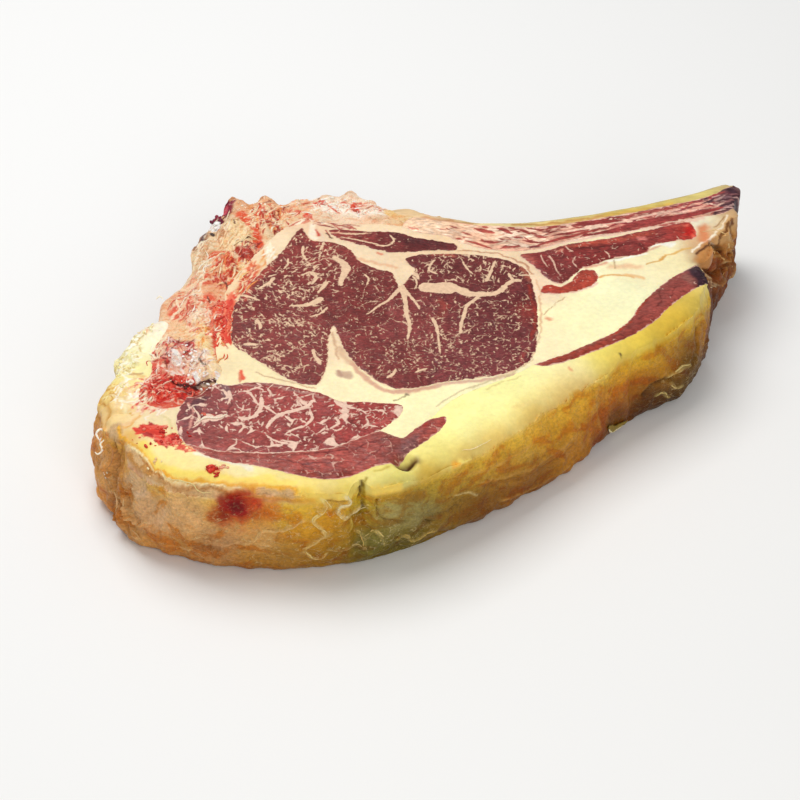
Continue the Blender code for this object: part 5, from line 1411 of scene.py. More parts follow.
def mesh_piece(name, places, faces, numbers, colour, finish):
    """A smooth mesh object with its numbers and colour stored at its points."""
    data = bpy.data.meshes.new(name)
    data.vertices.add(len(places))
    data.vertices.foreach_set("co", (places * MM).astype(np.float32).ravel())
    data.loops.add(3 * len(faces))
    data.loops.foreach_set("vertex_index", faces.astype(np.int32).ravel())
    data.polygons.add(len(faces))
    data.polygons.foreach_set("loop_start", np.arange(0, 3 * len(faces), 3, dtype=np.int32))
    data.update(calc_edges=True)
    data.validate()
    for key, values in numbers.items():
        data.attributes.new(key, "FLOAT", "POINT").data.foreach_set("value", values.astype(np.float32))
    shade = np.column_stack([np.clip(colour, 0.0, 1.0), np.ones(len(places))]).astype(np.float32)
    data.attributes.new("tint", "FLOAT_COLOR", "POINT").data.foreach_set("color", shade.ravel())
    data.shade_smooth()
    data.set_sharp_from_angle(angle=math.radians(62))
    data.materials.append(finish)
    made = bpy.data.objects.new(name, data)
    bpy.context.collection.objects.link(made)
    return made


def add(tree, kind, inputs=None, **settings):
    """One node, with its settings and its inputs set or joined."""
    node = tree.nodes.new(kind)
    for key, value in settings.items():
        setattr(node, key, value)
    for key, value in (inputs or {}).items():
        if isinstance(value, bpy.types.NodeSocket):
            tree.links.new(value, node.inputs[key])
        else:
            node.inputs[key].default_value = value
    return node


def mixed(tree, share, first, second, way="MIX"):
    """Two colours mixed by a share."""
    return add(tree, "ShaderNodeMix", {0: share, 6: first, 7: second}, data_type="RGBA",
               blend_type=way).outputs[2]


def sum_of(tree, way, first, second):
    """One step of arithmetic on two values."""
    return add(tree, "ShaderNodeMath", {0: first, 1: second}, operation=way).outputs[0]


def times(tree, first, second):
    """Two values multiplied."""
    return sum_of(tree, "MULTIPLY", first, second)


def noise_in(tree, place, scale, detail, roughness=0.5, distortion=0.0):
    """A noise pattern, from 0 to 1."""
    return add(tree, "ShaderNodeTexNoise", {
        "Vector": place, "Scale": scale, "Detail": detail, "Roughness": roughness,
        "Distortion": distortion}).outputs["Fac"]


def risen(tree, value, low, high, bottom=0.0, top=1.0):
    """A value eased from bottom to top as it goes from low to high."""
    return add(tree, "ShaderNodeMapRange", {
        "Value": value, "From Min": low, "From Max": high, "To Min": bottom, "To Max": top},
        interpolation_type="SMOOTHSTEP").outputs[0]


def stored(tree, name, colour=False):
    """A value or a colour kept at the points of the mesh."""
    return add(tree, "ShaderNodeAttribute", attribute_name=name).outputs["Color" if colour else "Fac"]


def group_of(name, outputs, **numbers):
    """An empty node group that takes coordinates and numbers, and its inside ends."""
    group = bpy.data.node_groups.new(name, "ShaderNodeTree")
    group.interface.new_socket(name="Vector", in_out="INPUT", socket_type="NodeSocketVector")
    for key, value in numbers.items():
        socket = group.interface.new_socket(
            name=key.replace("_", " "), in_out="INPUT", socket_type="NodeSocketFloat")
        socket.default_value = value
    for key in outputs:
        group.interface.new_socket(name=key, in_out="OUTPUT", socket_type="NodeSocketFloat")
    return group, group.nodes.new("NodeGroupInput").outputs, group.nodes.new("NodeGroupOutput").inputs


def made_speckle():
    """Small stretched specks of fat that break up a plain surface."""
    group, given, wanted = group_of("fat_speckle", ["Mask"], Scale=900.0, Cutoff=0.62, Softness=0.04)
    wave = noise_in(group, given["Vector"], given["Scale"], 1.5, 0.45, 0.5)
    high = sum_of(group, "ADD", given["Cutoff"], given["Softness"])
    group.links.new(risen(group, wave, given["Cutoff"], high), wanted["Mask"])
    return group


def made_mottle():
    """A soft unevenness."""
    group, given, wanted = group_of("mottle", ["Value"], Scale=100.0, Low=0.9, High=1.1)
    broad = noise_in(group, given["Vector"], given["Scale"], 4.0, 0.6)
    group.links.new(risen(group, broad, 0.3, 0.7, given["Low"], given["High"]), wanted["Value"])
    return group


def made_fibres():
    """Height of fine fibres and of the moist grain between them."""
    group, given, wanted = group_of("fibres", ["Height"], Scale=700.0, Grain_Scale=2200.0, Grain=0.4)
    long = noise_in(group, given["Vector"], given["Scale"], 3.0, 0.55)
    fine = noise_in(group, given["Vector"], given["Grain Scale"], 2.0)
    group.links.new(sum_of(group, "ADD", long, times(group, fine, given["Grain"])), wanted["Height"])
    return group


def made_membrane():
    """Thin wrinkled skin: raised threads between smooth stretched fields."""
    group, given, wanted = group_of(
        "membrane", ["Threads", "Height"], Scale=120.0, Thickness=0.06, Stir=0.012)
    shift = add(group, "ShaderNodeTexNoise", {
        "Vector": given["Vector"], "Scale": times(group, given["Scale"], 0.8),
        "Detail": 3.0}).outputs["Color"]
    centred = add(
        group, "ShaderNodeVectorMath", {0: shift, 1: (0.5, 0.5, 0.5)}, operation="SUBTRACT").outputs[0]
    moved = add(
        group, "ShaderNodeVectorMath", {0: centred, "Scale": given["Stir"]}, operation="SCALE").outputs[0]
    place = add(
        group, "ShaderNodeVectorMath", {0: given["Vector"], 1: moved}, operation="ADD").outputs[0]
    cells = add(group, "ShaderNodeTexVoronoi", {"Vector": place, "Scale": given["Scale"]},
                feature="DISTANCE_TO_EDGE").outputs["Distance"]
    threads = risen(group, cells, 0.0, given["Thickness"], 1.0, 0.0)
    group.links.new(threads, wanted["Threads"])
    fold = noise_in(group, place, times(group, given["Scale"], 3.0), 3.0)
    group.links.new(sum_of(group, "ADD", threads, fold), wanted["Height"])
    return group


SPECKLE = made_speckle()
MOTTLE = made_mottle()
FIBRES = made_fibres()
MEMBRANE = made_membrane()


def use(tree, group, **inputs):
    """A group placed in a material; underscores in names stand for spaces."""
    given = {key.replace("_", " "): value for key, value in inputs.items()}
    return add(tree, "ShaderNodeGroup", given, node_tree=group).outputs


def mottled(tree, place, scale, low, high):
    """An uneven value between two limits."""
    return use(tree, MOTTLE, Vector=place, Scale=scale, Low=low, High=high)["Value"]


def fibrous(tree, place, scale, grain_scale, grain):
    """Height of fibres with their grain."""
    return use(tree, FIBRES, Vector=place, Scale=scale, Grain_Scale=grain_scale, Grain=grain)["Height"]


def bumped(tree, height, strength, distance):
    """The normal of a surface with that height on it."""
    return add(tree, "ShaderNodeBump", {
        "Height": height, "Strength": strength, "Distance": distance}).outputs[0]


def feed(tree, shader, **values):
    """Joins values to the shader; underscores in names stand for spaces."""
    for key, value in values.items():
        tree.links.new(value, shader.inputs[key.replace("_", " ")])


def new_material(name, **shader_values):
    """A material with its tree, its shader and the object's own coordinates."""
    made = bpy.data.materials.new(name)
    made.use_nodes = True
    tree = made.node_tree
    shader = tree.nodes["Principled BSDF"]
    for key, value in shader_values.items():
        shader.inputs[key.replace("_", " ")].default_value = value
    place = add(tree, "ShaderNodeTexCoord").outputs["Object"]
    return made, tree, shader, place


def grain_of(tree, place, turn, squeeze):
    """Coordinates turned to the run of the fibres and squeezed along them."""
    return add(tree, "ShaderNodeMapping", {
        "Vector": place, "Rotation": (0.0, 0.0, math.radians(-turn)),
        "Scale": (squeeze, 1.0, 0.6)}).outputs[0]


def scaled(tree, colour, value):
    """A colour made lighter or darker by a value."""
    grey = add(tree, "ShaderNodeCombineColor", {0: value, 1: value, 2: value}).outputs[0]
    return mixed(tree, 1.0, colour, grey, "MULTIPLY")


def lean_material(name, turn, fleck, fat_colour, squeeze=0.5):
    """Raw lean: fibres, fat veins and flecks, and a moist shine."""
    made, tree, shader, place = new_material(name, Specular_IOR_Level=0.14, Coat_Roughness=0.2)
    run = grain_of(tree, place, turn, squeeze)
    tone = times(tree, mottled(tree, place, 130.0, 0.8, 1.22), mottled(tree, run, 900.0, 0.7, 1.34))
    lean = scaled(tree, stored(tree, "tint", True), tone)
    specks = use(tree, SPECKLE, Vector=run, Scale=1100.0, Cutoff=fleck, Softness=0.1)["Mask"]
    lean = mixed(tree, times(tree, specks, 0.25), lean, (*linear("d9a08a"), 1.0))
    wave = noise_in(tree, place, 1500.0, 2.0)
    ragged = sum_of(tree, "ADD", stored(tree, "vein"), times(tree, wave, 0.5))
    veins = risen(tree, ragged, -0.07, 0.37, 1.0, 0.0)
    frayed = noise_in(tree, run, 420.0, 3.0)
    margin = sum_of(tree, "SUBTRACT", times(tree, frayed, 3.0), stored(tree, "edge"))
    veins = sum_of(tree, "MAXIMUM", veins, risen(tree, margin, 0.9, 1.5))
    fat = scaled(tree, (*linear(fat_colour), 1.0), mottled(tree, place, 500.0, 0.86, 1.06))
    threads = fibrous(tree, run, 800.0, 2600.0, 0.5)
    height = sum_of(tree, "ADD", threads, times(tree, veins, 0.5))
    feed(tree, shader, Base_Color=mixed(tree, veins, lean, fat), Normal=bumped(tree, height, 0.5, 0.0004),
         Roughness=mottled(tree, place, 260.0, 0.3, 0.5),
         Coat_Weight=mottled(tree, place, 180.0, 0.0, 0.14))
    return made


def fat_material(name, low, high, waxy):
    """Fat: smooth and waxy where it is cut, under a wrinkled skin on the outside."""
    made, tree, shader, place = new_material(
        name, Specular_IOR_Level=0.18, Coat_Roughness=0.14, Subsurface_Weight=waxy, Subsurface_Scale=0.0016)
    shader.inputs["Subsurface Radius"].default_value = (1.0, 0.7, 0.35)
    skin = stored(tree, "skin")
    tone = times(tree, mottled(tree, place, 70.0, low, high), mottled(tree, place, 420.0, 0.95, 1.04))
    fat = scaled(tree, stored(tree, "tint", True), tone)
    slant = add(tree, "ShaderNodeMapping", {
        "Vector": place, "Rotation": (0.0, 0.0, math.radians(-48.0)), "Scale": (0.45, 1.0, 1.0)}).outputs[0]
    blotch = noise_in(tree, slant, 110.0, 4.0, distortion=1.0)
    amber = mixed(tree, 1.0, fat, (0.86, 0.6, 0.26, 1.0), "MULTIPLY")
    pale = mixed(tree, 1.0, fat, (1.12, 1.14, 1.25, 1.0), "MULTIPLY")
    skin_tone = mixed(tree, risen(tree, blotch, 0.36, 0.52), amber, fat)
    skin_tone = mixed(tree, risen(tree, blotch, 0.54, 0.7), skin_tone, pale)
    film = use(tree, MEMBRANE, Vector=slant, Scale=230.0, Thickness=0.05, Stir=0.016)
    threads = times(tree, film["Threads"], sum_of(tree, "ADD", 0.12, stored(tree, "web")))
    skin_tone = mixed(tree, times(tree, threads, 0.6), skin_tone, (*linear("efd69c"), 1.0))
    skin_tone = scaled(tree, skin_tone, mottled(tree, place, 800.0, 0.84, 1.14))
    streaks = fibrous(tree, slant, 260.0, 1400.0, 0.35)
    wrinkles = sum_of(tree, "ADD", streaks, times(tree, film["Height"], 0.25))
    smooth = times(tree, noise_in(tree, place, 600.0, 4.0), 0.16)
    height = add(tree, "ShaderNodeMix", {0: skin, 2: smooth, 3: wrinkles}).outputs[0]
    feed(tree, shader, Base_Color=mixed(tree, skin, fat, skin_tone),
         Normal=bumped(tree, height, 0.7, 0.0011),
         Roughness=mottled(tree, place, 240.0, 0.34, 0.52),
         Coat_Weight=times(tree, skin, risen(tree, blotch, 0.4, 0.62, 0.0, 0.1)))
    return made


def craggy_material(name):
    """Sawn bone, red marrow and torn meat: rough, with pores and crumbs."""
    made, tree, shader, place = new_material(
        name, Specular_IOR_Level=0.22, Coat_Roughness=0.25, Subsurface_Weight=0.08, Subsurface_Scale=0.001)
    tint = stored(tree, "tint", True)
    patch = noise_in(tree, grain_of(tree, place, 68.0, 0.35), 620.0, 5.0, 0.62, 0.4)
    redder = mixed(tree, 1.0, tint, (0.95, 0.72, 0.62, 1.0), "MULTIPLY")
    paler = mixed(tree, 0.3, tint, (*linear("f7e4cc"), 1.0))
    base = mixed(tree, risen(tree, patch, 0.36, 0.5), redder, tint)
    base = mixed(tree, risen(tree, patch, 0.53, 0.62), base, paler)
    pores = add(tree, "ShaderNodeTexVoronoi", {"Vector": place, "Scale": 900.0}).outputs["Distance"]
    dark = risen(tree, pores, 0.08, 0.3, 0.72, 1.0)
    height = sum_of(tree, "ADD", patch, times(tree, dark, 0.35))
    feed(tree, shader, Base_Color=scaled(tree, base, dark), Normal=bumped(tree, height, 0.8, 0.0012),
         Roughness=risen(tree, patch, 0.35, 0.65, 0.36, 0.62),
         Coat_Weight=risen(tree, patch, 0.3, 0.5, 0.14, 0.0))
    return made


def bone_material(name):
    """Old rib bone under dried skin: long faint streaks and a dull shine."""
    made, tree, shader, place = new_material(name, Specular_IOR_Level=0.45, Coat_Roughness=0.3)
    run = grain_of(tree, place, 12.0, 0.16)
    streak = mottled(tree, run, 500.0, 0.84, 1.1)
    tone = times(tree, streak, mottled(tree, place, 90.0, 0.88, 1.08))
    feed(tree, shader, Base_Color=scaled(tree, stored(tree, "tint", True), tone),
         Normal=bumped(tree, fibrous(tree, run, 420.0, 1800.0, 0.4), 0.6, 0.0006),
         Roughness=mottled(tree, place, 200.0, 0.4, 0.6),
         Coat_Weight=risen(tree, streak, 0.9, 1.1, 0.0, 0.2))
    return made


# The fine relief of each kind of piece, in mm up from the cut face.
def lean_relief(places):
    """Soft unevenness of cut lean."""
    return 0.18 * lumpy(places, 7.0, 91) + 0.1 * lumpy(places, 2.4, 92) + 0.05 * lumpy(places, 1.1, 93)


def strip_relief(places):
    """Coarser bundles, running along the strip."""
    along = places @ np.array([[0.35, 0.2], [-0.1, 1.0]])
    return 0.3 * lumpy(along, 2.6, 94) + 0.12 * lumpy(places, 1.4, 95)


def fat_relief(places):
    """The faint waves of sliced fat."""
    return 0.22 * lumpy(places, 9.0, 96) + 0.06 * lumpy(places, 2.5, 97)


def cover_relief(places):
    """Ridges of meat and fat that run along the rib."""
    along = places @ np.array([[0.3, -0.2], [0.1, 1.0]])
    return 0.35 * lumpy(along, 2.4, 98) + 0.12 * lumpy(places, 1.3, 99)


CHINE_STROKES = strokes_of(CHINE_SHREDS, 171)


def chine_relief(places):
    """Torn shreds over the crags of the sawn spine bone."""
    height = 0.9 * craggy(places, 4.5, 3, 101) + 0.3
    height -= 0.5 * peak(walls(stirred(places, 4.0, 1.6, 105), 7.0, 106), 0.09)
    for rise, _colour, half, line in CHINE_STROKES:
        near, cover = under(places, line, half, 0.3)
        height[near] += 0.65 * rise * cover
    return height


def outer_relief(places):
    """Soft waves, with crumbled fat along the left edge and folds at its corner."""
    crumbly = near_any(np.column_stack([places, np.full(len(places), 44.0)]), CRUMBLY)
    folded = peak(np.hypot(*(places - LEFT_CORNER).T), 14.0)
    waves = 0.3 * lumpy(places, 8.0, 111) + 0.08 * lumpy(places, 2.2, 112)
    crumbs = crumbly * (1.9 * craggy(places, 5.5, 3, 113) - 0.5)
    lines = -1.6 * peak(lumpy(stirred(places, 6.0, 2.0, 114), 9.0, 115), 0.14)
    return waves + crumbs + folded * (lines + 0.8 * lumpy(places, 7.0, 116))


def bone_relief(places):
    """Shallow grooves along the rib."""
    along = places @ np.array([[0.12, -0.25], [0.05, 1.0]])
    return 0.25 * lumpy(along, 1.8, 121)


eye_finish = lean_material("eye_lean", 90.0, 0.64, "e9c5a2")
cap_finish = lean_material("cap_lean", 60.0, 0.62, "edc8b2")
strip_finish = lean_material("strip_lean", 20.0, 0.66, "d9a592", squeeze=0.4)
flank_finish = lean_material("flank_lean", 45.0, 0.66, "dcae9c", squeeze=0.4)
rib_finish = lean_material("rib_lean", 96.0, 0.66, "e0b49c", squeeze=0.4)
cover_finish = lean_material("cover_lean", 16.0, 0.66, "e2b49c", squeeze=0.35)
cream_finish = fat_material("cream_fat", 0.94, 1.04, 0.16)
yellow_finish = fat_material("yellow_fat", 0.93, 1.05, 0.16)
chine_finish = craggy_material("sawn_bone")
rib_bone_finish = bone_material("rib_bone")

eye_loop = island(EYE)
inner_loop = island(INNER)
rib_lean_loop = island(RIB_LEAN)
tail_loop = island(TAIL_LEAN)

EYE_MESH = 0.46
# Name, loops, mesh size, other settings of the slab, tints, coats, material and slot.
LEAN_PIECES = [
    ("eye_muscle", [eye_loop], EYE_MESH, {"nets": [(6.0, 0.22, 131)]}, EYE_TINTS, EYE_COATS, eye_finish,
     "dark_lean"),
    ("inner_muscle", [inner_loop], 0.55, {"rise": -0.3}, INNER_LEAN_TINTS, INNER_LEAN_COATS, eye_finish,
     "dark_lean"),
    ("rib_muscle", [rib_lean_loop], 0.55, {"rise": 0.3, "lumps": 0.6}, RIB_LEAN_TINTS, RIB_LEAN_COATS,
     rib_finish, "light_lean"),
    ("rib_muscle_tail", [tail_loop], 0.55, {"rise": 0.3}, TAIL_TINTS, TAIL_COATS, rib_finish,
     "light_lean"),
    ("cap_muscle", [area_between("cap_inner", "cap_chine", "cap_outer", "-cap_strip")], 0.5,
     {"rise": 0.2, "nets": [(10.0, 0.8, 141)]}, CAP_TINTS, CAP_COATS, cap_finish, "light_lean"),
    ("strip_muscle", [area_between("strip_inner", "cap_strip", "-strip_outer")], 0.5,
     {"rise": 0.6, "lumps": 0.6, "relief": strip_relief, "nets": [(7.0, 0.3, 161)]}, STRIP_TINTS,
     STRIP_COATS, strip_finish, "light_lean"),
    ("flank_muscle", [area_between("flank_end", "-flank_lower", "-flank_upper")], 0.5,
     {"rise": 0.8, "lumps": 0.4, "relief": strip_relief}, FLANK_TINTS, FLANK_COATS, flank_finish,
     "light_lean")]
for lean_name, lean_loops, fine, settings, tints, coats, lean_finish, lean_slot in LEAN_PIECES:
    slab = Slab(lean_name, lean_loops, fine, **{"relief": lean_relief, **settings})
    painted = slab.paint(tints, coats, light=LEAN_LIGHT, skin_light=LEAN_LIGHT)
    slab.finish(painted.colour, lean_finish, lean_slot, depth=0.12)

cover_loop = area_between("rib_meat", "rib_end", "-meat_fat", "-meat_chine")
cover_strokes = strokes_of(COVER_SHREDS, 173)
cover_strokes += [(0.0, colour, half, curve(points, 1.0)) for colour, half, *points in COVER_STREAKS]
cover = Slab("rib_cover_meat", [cover_loop], 0.5, cover_relief, lumps=0.6)
cover_paint = cover.paint(COVER_TINTS, COVER_COATS, cover_strokes, lowest=38.0)
cover.finish(cover_paint.colour, cover_finish, "light_lean")

cream_loop = area_between(
    "meat_fat", "fat_end", "flank_upper", "fascia", "strip_inner", "cap_inner", "-chine_inner")
cream_loops = [cream_loop, eye_loop, inner_loop, rib_lean_loop, tail_loop]
inner_fat = Slab("inner_fat", cream_loops, 0.64, fat_relief)
inner_paint = inner_fat.paint(
    INNER_TINTS, INNER_COATS, strokes_of(BAND_SHREDS, 175), lowest=34.0, skin_light=(0.85, 0.68, 0.4))
inner_fat.finish(inner_paint.colour, cream_finish, "cream_fat")

yellow_loop = area_between(
    "fat_front", "-chine_left", "cap_outer", "-strip_outer", "-fascia", "flank_lower")
outer_fat = Slab("outer_fat", [yellow_loop], 0.7, outer_relief, lumps=0.6)
# Its strokes include painted shade and painted highlights on the ruffled fat at the left edge.
outer_paint = outer_fat.paint(
    OUTER_TINTS, OUTER_COATS, strokes_of(SCRAP_SHREDS_AND_SHADING, 177), RIM, lowest=35.0, skin_light=(1.0, 0.84, 0.24))
# Blood, stains and, low on the right, painted shade on the side.
for spot in STAINS_AND_SHADE:
    outer_paint.spot(*spot)
outer_fat.finish(outer_paint.colour, yellow_finish, "yellow_fat")

bone_loop = area_between("rib_back", "-rib_meat", "-rib_chine")
rib_bone = Slab("rib_bone", [bone_loop], 0.6, bone_relief, lumps=0.2)
rib_bone.finish(rib_bone.paint(BONE_TINTS, BONE_COATS, lowest=40.0).colour, rib_bone_finish, "dry_bone")

chine_loop = area_between("chine_side", "rib_chine", "meat_chine", "chine_inner", "cap_chine", "chine_left")
chine = Slab("chine_bone", [chine_loop], 0.46, chine_relief, lumps=2.2, scale=9.0)
chine_paint = chine.paint(
    CHINE_TINTS, CHINE_COATS, CHINE_STROKES, lowest=32.0, light=(1.03, 0.98, 0.88),
    skin_light=(0.98, 0.92, 0.8))
# Marks over the shreds, among them a painted shadow and painted shade in slits and cracks.
for mark in CHINE_MARKS:
    chine_paint.coat(*mark, lowest=28.0)
chine.finish(chine_paint.colour, chine_finish, "sawn_bone")

# Loose crumbs, scraps and threads that lie on the cut face or hang at its edges.
scrap_finish, scrap_tree, scrap_shader, scrap_place = new_material(
    "loose_scraps", Specular_IOR_Level=0.25, Subsurface_Weight=0.1, Subsurface_Scale=0.0008)
scrap_tone = mottled(scrap_tree, scrap_place, 1500.0, 0.86, 1.1)
scrap_grain = fibrous(scrap_tree, scrap_place, 1300.0, 3000.0, 0.5)
feed(scrap_tree, scrap_shader, Base_Color=scaled(scrap_tree, stored(scrap_tree, "tint", True), scrap_tone),
     Normal=bumped(scrap_tree, scrap_grain, 0.5, 0.0003))

# The crumb pattern, and the least and most that each copy is stretched along each axis.
bpy.ops.object.select_all(action="DESELECT")
bpy.ops.mesh.primitive_ico_sphere_add(subdivisions=2, radius=1.0)
pattern = bpy.context.object
bpy.ops.object.mode_set(mode="EDIT")
bpy.ops.mesh.select_all(action="SELECT")
bpy.ops.transform.vertex_random(offset=0.3, seed=3)
bpy.ops.object.mode_set(mode="OBJECT")
CRUMB_PLACES = np.array([corner.co for corner in pattern.data.vertices])
CRUMB_FACES = np.array([face.vertices for face in pattern.data.polygons])
CRUMB_SHAPE = ((0.8, 1.6), (0.5, 1.0), (0.4, 0.9))
bpy.data.objects.remove(pattern)

# The finished pieces in a form in which the loose things can find the surface under them.
TOPS = []
for piece in SHOWN:
    corners = np.empty(3 * len(piece.data.vertices), np.float32)
    piece.data.vertices.foreach_get("co", corners)
    around = np.empty(3 * len(piece.data.polygons), np.int32)
    piece.data.loops.foreach_get("vertex_index", around)
    TOPS.append(BVHTree.FromPolygons(
        (corners.reshape(-1, 3) / MM).tolist(), around.reshape(-1, 3).tolist(), all_triangles=True))


def ground(x, y):
    """Height in mm of the steak's upper surface over a plan place, or None beside it."""
    hits = [tree.ray_cast(Vector((x, y, 90.0)), Vector((0.0, 0.0, -1.0)))[0] for tree in TOPS]
    heights = [hit.z for hit in hits if hit is not None]
    return max(heights) if heights else None


def laid(points, lift):
    """A curve laid on the nearest surface of the steak, and which way is out all along it."""
    line = curve(points, 0.5, axes=3)
    line += 0.5 * np.column_stack([lumpy(line, 3.0, 193 + axis) for axis in range(3)])
    rows = []
    for place in line.tolist():
        found = [tree.find_nearest(Vector(place)) for tree in TOPS]
        spot, out, _face, _away = min(found, key=lambda hit: hit[3])
        rows.append((*spot, *out))
    rows = np.array(rows)
    for _pass in range(3):
        rows[1:-1] = (rows[:-2] + 2.0 * rows[1:-1] + rows[2:]) / 4.0
    outward = rows[:, 3:] / np.linalg.norm(rows[:, 3:], axis=1)[:, None]
    return rows[:, :3] + lift * outward, outward


def hanging(line):
    """A line in the air, and a slanted way up for its section."""
    return line, np.tile((0.15, 0.1, 1.0), (len(line), 1))


class Scraps:
    """Many small things of one kind, joined in one mesh."""

    def __init__(self):
        self.places = []
        self.faces = []
        self.colours = []
        self.total = 0

    def put(self, places, faces, colour):
        """One more thing."""
        self.places.append(places)
        self.faces.append(faces + self.total)
        self.colours.append(np.tile(linear(colour), (len(places), 1)))
        self.total += len(places)

    def crumb(self, chance, spot, size, colour):
        """A copy of the crumb pattern, turned and squashed, half sunk in what carries it."""
        turn = chance.uniform(0, math.tau)
        spin = np.eye(3)
        spin[:2, :2] = [toward(turn), toward(turn + math.pi / 2)]
        stretch = size * np.array([chance.uniform(*limits) for limits in CRUMB_SHAPE])
        self.put(CRUMB_PLACES * stretch @ spin + spot, CRUMB_FACES, colour)

    def thread(self, line, above, wide, thick, colour, sides=7):
        """A strip of flat round section along a line, ragged and thin at both ends."""
        ahead = np.gradient(line, axis=0)
        ahead /= np.linalg.norm(ahead, axis=1)[:, None]
        across = np.cross(ahead, above)
        across /= np.linalg.norm(across, axis=1)[:, None]
        above = np.cross(across, ahead)
        share = np.linspace(0.0, 1.0, len(line))
        taper = np.sin(math.pi * (0.05 + 0.9 * share)) ** 0.6 * (1.0 + 0.5 * lumpy(line, 1.6, 191))
        turn = np.arange(sides) * math.tau / sides
        rings = line[:, None] + taper[:, None, None] * (
            wide / 2 * np.cos(turn)[None, :, None] * across[:, None]
            + thick / 2 * np.sin(turn)[None, :, None] * above[:, None])
        faces = []
        for ring in range(len(line) - 1):
            for side in range(sides):
                a = ring * sides + side
                b = ring * sides + (side + 1) % sides
                faces += [(a, b, b + sides), (a, b + sides, a + sides)]
        last = (len(line) - 1) * sides
        for side in range(1, sides - 1):
            faces += [(0, side + 1, side), (last, last + side, last + side + 1)]
        self.put(rings.reshape(-1, 3), np.array(faces), colour)

    def finish(self, name, slot, light=(1.0, 1.0, 1.0)):
        """The joined mesh, riding on the steak."""
        made = mesh_piece(name, np.vstack(self.places), np.vstack(self.faces), {},
                          np.vstack(self.colours) * light, scrap_finish)
        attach(made, "root")


# Crumbs: x, y and half sizes of a patch, how many, smallest and largest, colours.
BONE_CRUMBS = [
    (-40, 95, 19, 8, 90, 0.25, 0.75, "fbf6ee", "f6ece0", "f0dcc8"),
    (-86, 96, 14, 7, 26, 0.3, 0.8, "f6e6d0", "f0d0b4"),
    (-106, -43, 10, 4, 26, 0.4, 1.1, "f6f0e6", "f4dcd0", "eec8b8"),
    (-112, -26, 9, 10, 40, 0.4, 1.1, "faf2ea", "f0dcd0"),
    (-107, 81, 3, 3, 6, 0.8, 1.8, "f4f0ec", "ece4dc")]
FAT_CRUMBS = [
    (-141, -26, 5, 20, 34, 0.4, 1.1, "fbf2cc", "f4e6a8"),
    (-134, 2, 5, 12, 24, 0.4, 1.0, "fbf2cc", "f4e6a8"),
    (-128, -98, 10, 6, 8, 0.4, 0.9, "f4e0b0", "f0c890")]
RED_CRUMBS = [
    (-120, -81, 13, 7, 46, 0.3, 1.0, "d8402c", "b82820", "ec8068"),
    (-119, -47, 11, 8, 60, 0.3, 1.0, "d03028", "e8604c", "b82420"),
    (-96.5, -103.5, 2.4, 2.2, 18, 0.7, 1.3, "d8341c", "e8503c", "b82414"),
    (-94, -106, 1.6, 1.0, 8, 0.5, 1.0, "d8341c", "c02c18"),
    (-91, -102, 1.8, 1.3, 9, 0.5, 1.0, "f0b490", "e89878"),
    (-105, 90, 4, 9, 34, 0.5, 1.7, "8c1f38", "6c1830", "a83048"),
    (-98, 5, 5, 18, 40, 0.3, 0.9, "d8402e", "ee8060"),
    (-80, 80, 8, 10, 24, 0.3, 0.8, "c0402e", "e07050"),
    (-101, -68, 4, 3, 6, 0.4, 0.9, "e8705c", "f0b8a4")]


def strewn(rows, seed):
    """Crumbs of one kind, strewn over their patches."""
    chance = np.random.default_rng(seed)
    scraps = Scraps()
    for x, y, half_x, half_y, count, small, large, *colours in rows:
        for _number in range(count):
            spot = spot_in(chance, x, y, half_x, half_y)
            size = small + (large - small) * chance.uniform(0, 1) ** 2
            colour = colours[chance.integers(len(colours))]
            height = ground(*spot)
            if height is not None and height > 25.0:
                scraps.crumb(chance, (*spot, height + 0.2 * size), size, colour)
    return scraps


strewn(BONE_CRUMBS, 181).finish("bone_dust", "sawn_bone")
fat_scraps = strewn(FAT_CRUMBS, 183)
red_scraps = strewn(RED_CRUMBS, 185)

# Curled threads of fat that hang at the left edge: width, thickness, colour, points.
for wide, thick, colour, *points in [
        (1.3, 0.9, "fbf4e4", (-146, -67, 39), (-149, -66, 39.5), (-150.5, -68, 38.5), (-149, -70.5, 37)),
        (1.1, 0.8, "f6ecd4", (-146, -70, 37.5), (-148.5, -72, 36), (-147.5, -74, 34.5),
         (-149.5, -75.5, 33), (-151, -74, 33)),
        (0.9, 0.6, "fbf4e4", (-147, -68, 38), (-149, -69.5, 35.5), (-147.5, -71, 34), (-148.5, -73, 32)),
        (1.0, 0.7, "f8f2dc", (-127, 22, 46), (-129, 23.5, 46.5), (-130.5, 22.5, 45.4))]:
    fat_scraps.thread(*hanging(curve(points, 0.5, axes=3)), wide, thick, colour)
for wide, thick, colour, *points in [
        (1.6, 0.8, "f4efe6", (-147, -73, 26), (-148.5, -75, 23), (-147, -78, 21)),
        (1.6, 0.7, "f0dcc4", (-105, -72, 48), (-101, -68, 48), (-96, -68.5, 48), (-92, -66, 48)),
        (1.4, 0.7, "ecc8b0", (-106, -74, 48), (-104, -68, 48), (-107, -62, 48))]:
    fat_scraps.thread(*laid(points, 0.2), wide, thick, colour)
fat_scraps.finish("fat_crumbs", "cream_fat")
red_scraps.finish("meat_scraps", "light_lean")

# Strands torn up from the sawn bone, each lifted in its middle.
torn = Scraps()
strand_chance = np.random.default_rng(187)
for _rise, colour, half, line in CHINE_STROKES:
    if strand_chance.uniform(0, 1) > 0.13 or linear(colour)[0] < 0.5:
        continue
    heights = [ground(x, y) for x, y in line.tolist()]
    if None in heights or max(heights) - min(heights) > 2.5:
        continue
    lift = np.array([-0.2, strand_chance.uniform(0.0, 0.5), strand_chance.uniform(-0.3, 0.5)])
    strand = curve(np.column_stack([line, np.array(heights) + lift]), 0.7, axes=3)
    torn.thread(*hanging(strand), 1.7 * half, 0.9 * half, colour, sides=6)
torn.finish("torn_strands", "sawn_bone")

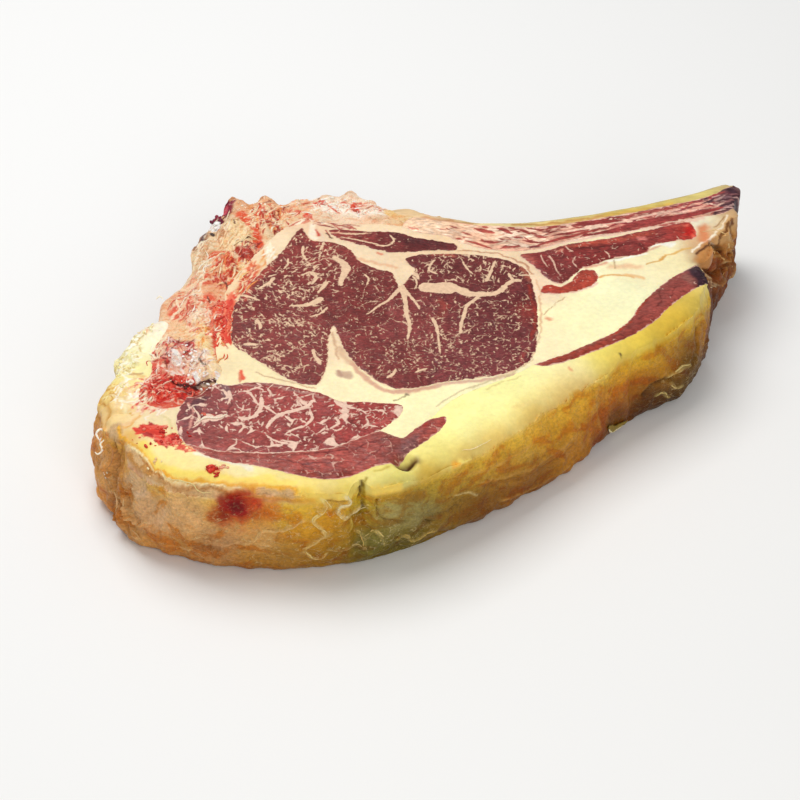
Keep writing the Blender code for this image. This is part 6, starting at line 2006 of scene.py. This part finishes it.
# The pale folds and edges of the skin, as thin strips that stand out from the side.
skin_folds = Scraps()
for height, half, colour, strength, *points in SIDE_LINES:
    if height > 0.6 and strength > 0.6:
        skin_folds.thread(*laid(points, 0.1), 0.7 * half, 0.4 * half, colour)
for wide, thick, colour, *points in [
        (3.4, 1.0, "8f7a30", (80, -30, 12), (85, -27.5, 7), (90, -24, 5), (95, -19, 4)),
        (1.4, 0.7, "f4ecd0", (82, -31, 10), (86, -29.5, 5.5), (90, -26.5, 3), (96, -21, 3))]:
    skin_folds.thread(*laid(points, 0.8), wide, thick, colour)
skin_folds.finish("skin_folds", "yellow_fat", LINE_LIGHT)

# Floor, light and camera.
bpy.ops.object.select_all(action="DESELECT")
bpy.ops.mesh.primitive_plane_add(size=6.0, location=(0.0, 0.6, -0.0004))
floor = bpy.context.object
floor.name = "floor"
floor.data.materials.append(
    new_material("pale_floor", Roughness=0.6, Base_Color=(0.86, 0.86, 0.85, 1.0))[0])

world = bpy.data.worlds.new("studio")
world.use_nodes = True
world.node_tree.nodes["Background"].inputs["Color"].default_value = (1.0, 1.0, 1.0, 1.0)
world.node_tree.nodes["Background"].inputs["Strength"].default_value = 0.4
bpy.context.scene.world = world


def lamp(name, energy, size, place, target, colour=(1.0, 1.0, 1.0)):
    """A soft square lamp aimed at a point."""
    light = bpy.data.lights.new(name, "AREA")
    light.energy = energy
    light.size = size
    light.color = colour
    made = bpy.data.objects.new(name, light)
    made.location = place
    made.rotation_euler = (Vector(target) - Vector(place)).to_track_quat("-Z", "Y").to_euler()
    bpy.context.collection.objects.link(made)


lamp("top_light", 12.6, 0.9, (-0.35, 0.45, 1.25), (0.0, 0.0, 0.03))
lamp("front_light", 6.5, 0.8, (0.35, -1.2, 0.75), (0.0, -0.05, 0.02), (1.0, 0.97, 0.93))

# The camera's place in metres, its tilt from straight down in degrees, and its lens in mm.
CAMERA_PLACE = (-0.015, -0.886, 0.730)
CAMERA_TILT = 50.6
CAMERA_LENS = 108.0
CAMERA_SENSOR = 36.0
camera = bpy.data.cameras.new("camera")
camera.sensor_width = CAMERA_SENSOR
camera.lens = CAMERA_LENS
camera_object = bpy.data.objects.new("camera", camera)
camera_object.location = CAMERA_PLACE
camera_object.rotation_euler = (math.radians(CAMERA_TILT), 0.0, 0.0)
bpy.context.collection.objects.link(camera_object)
bpy.context.scene.camera = camera_object
bpy.context.scene.view_settings.view_transform = "Standard"
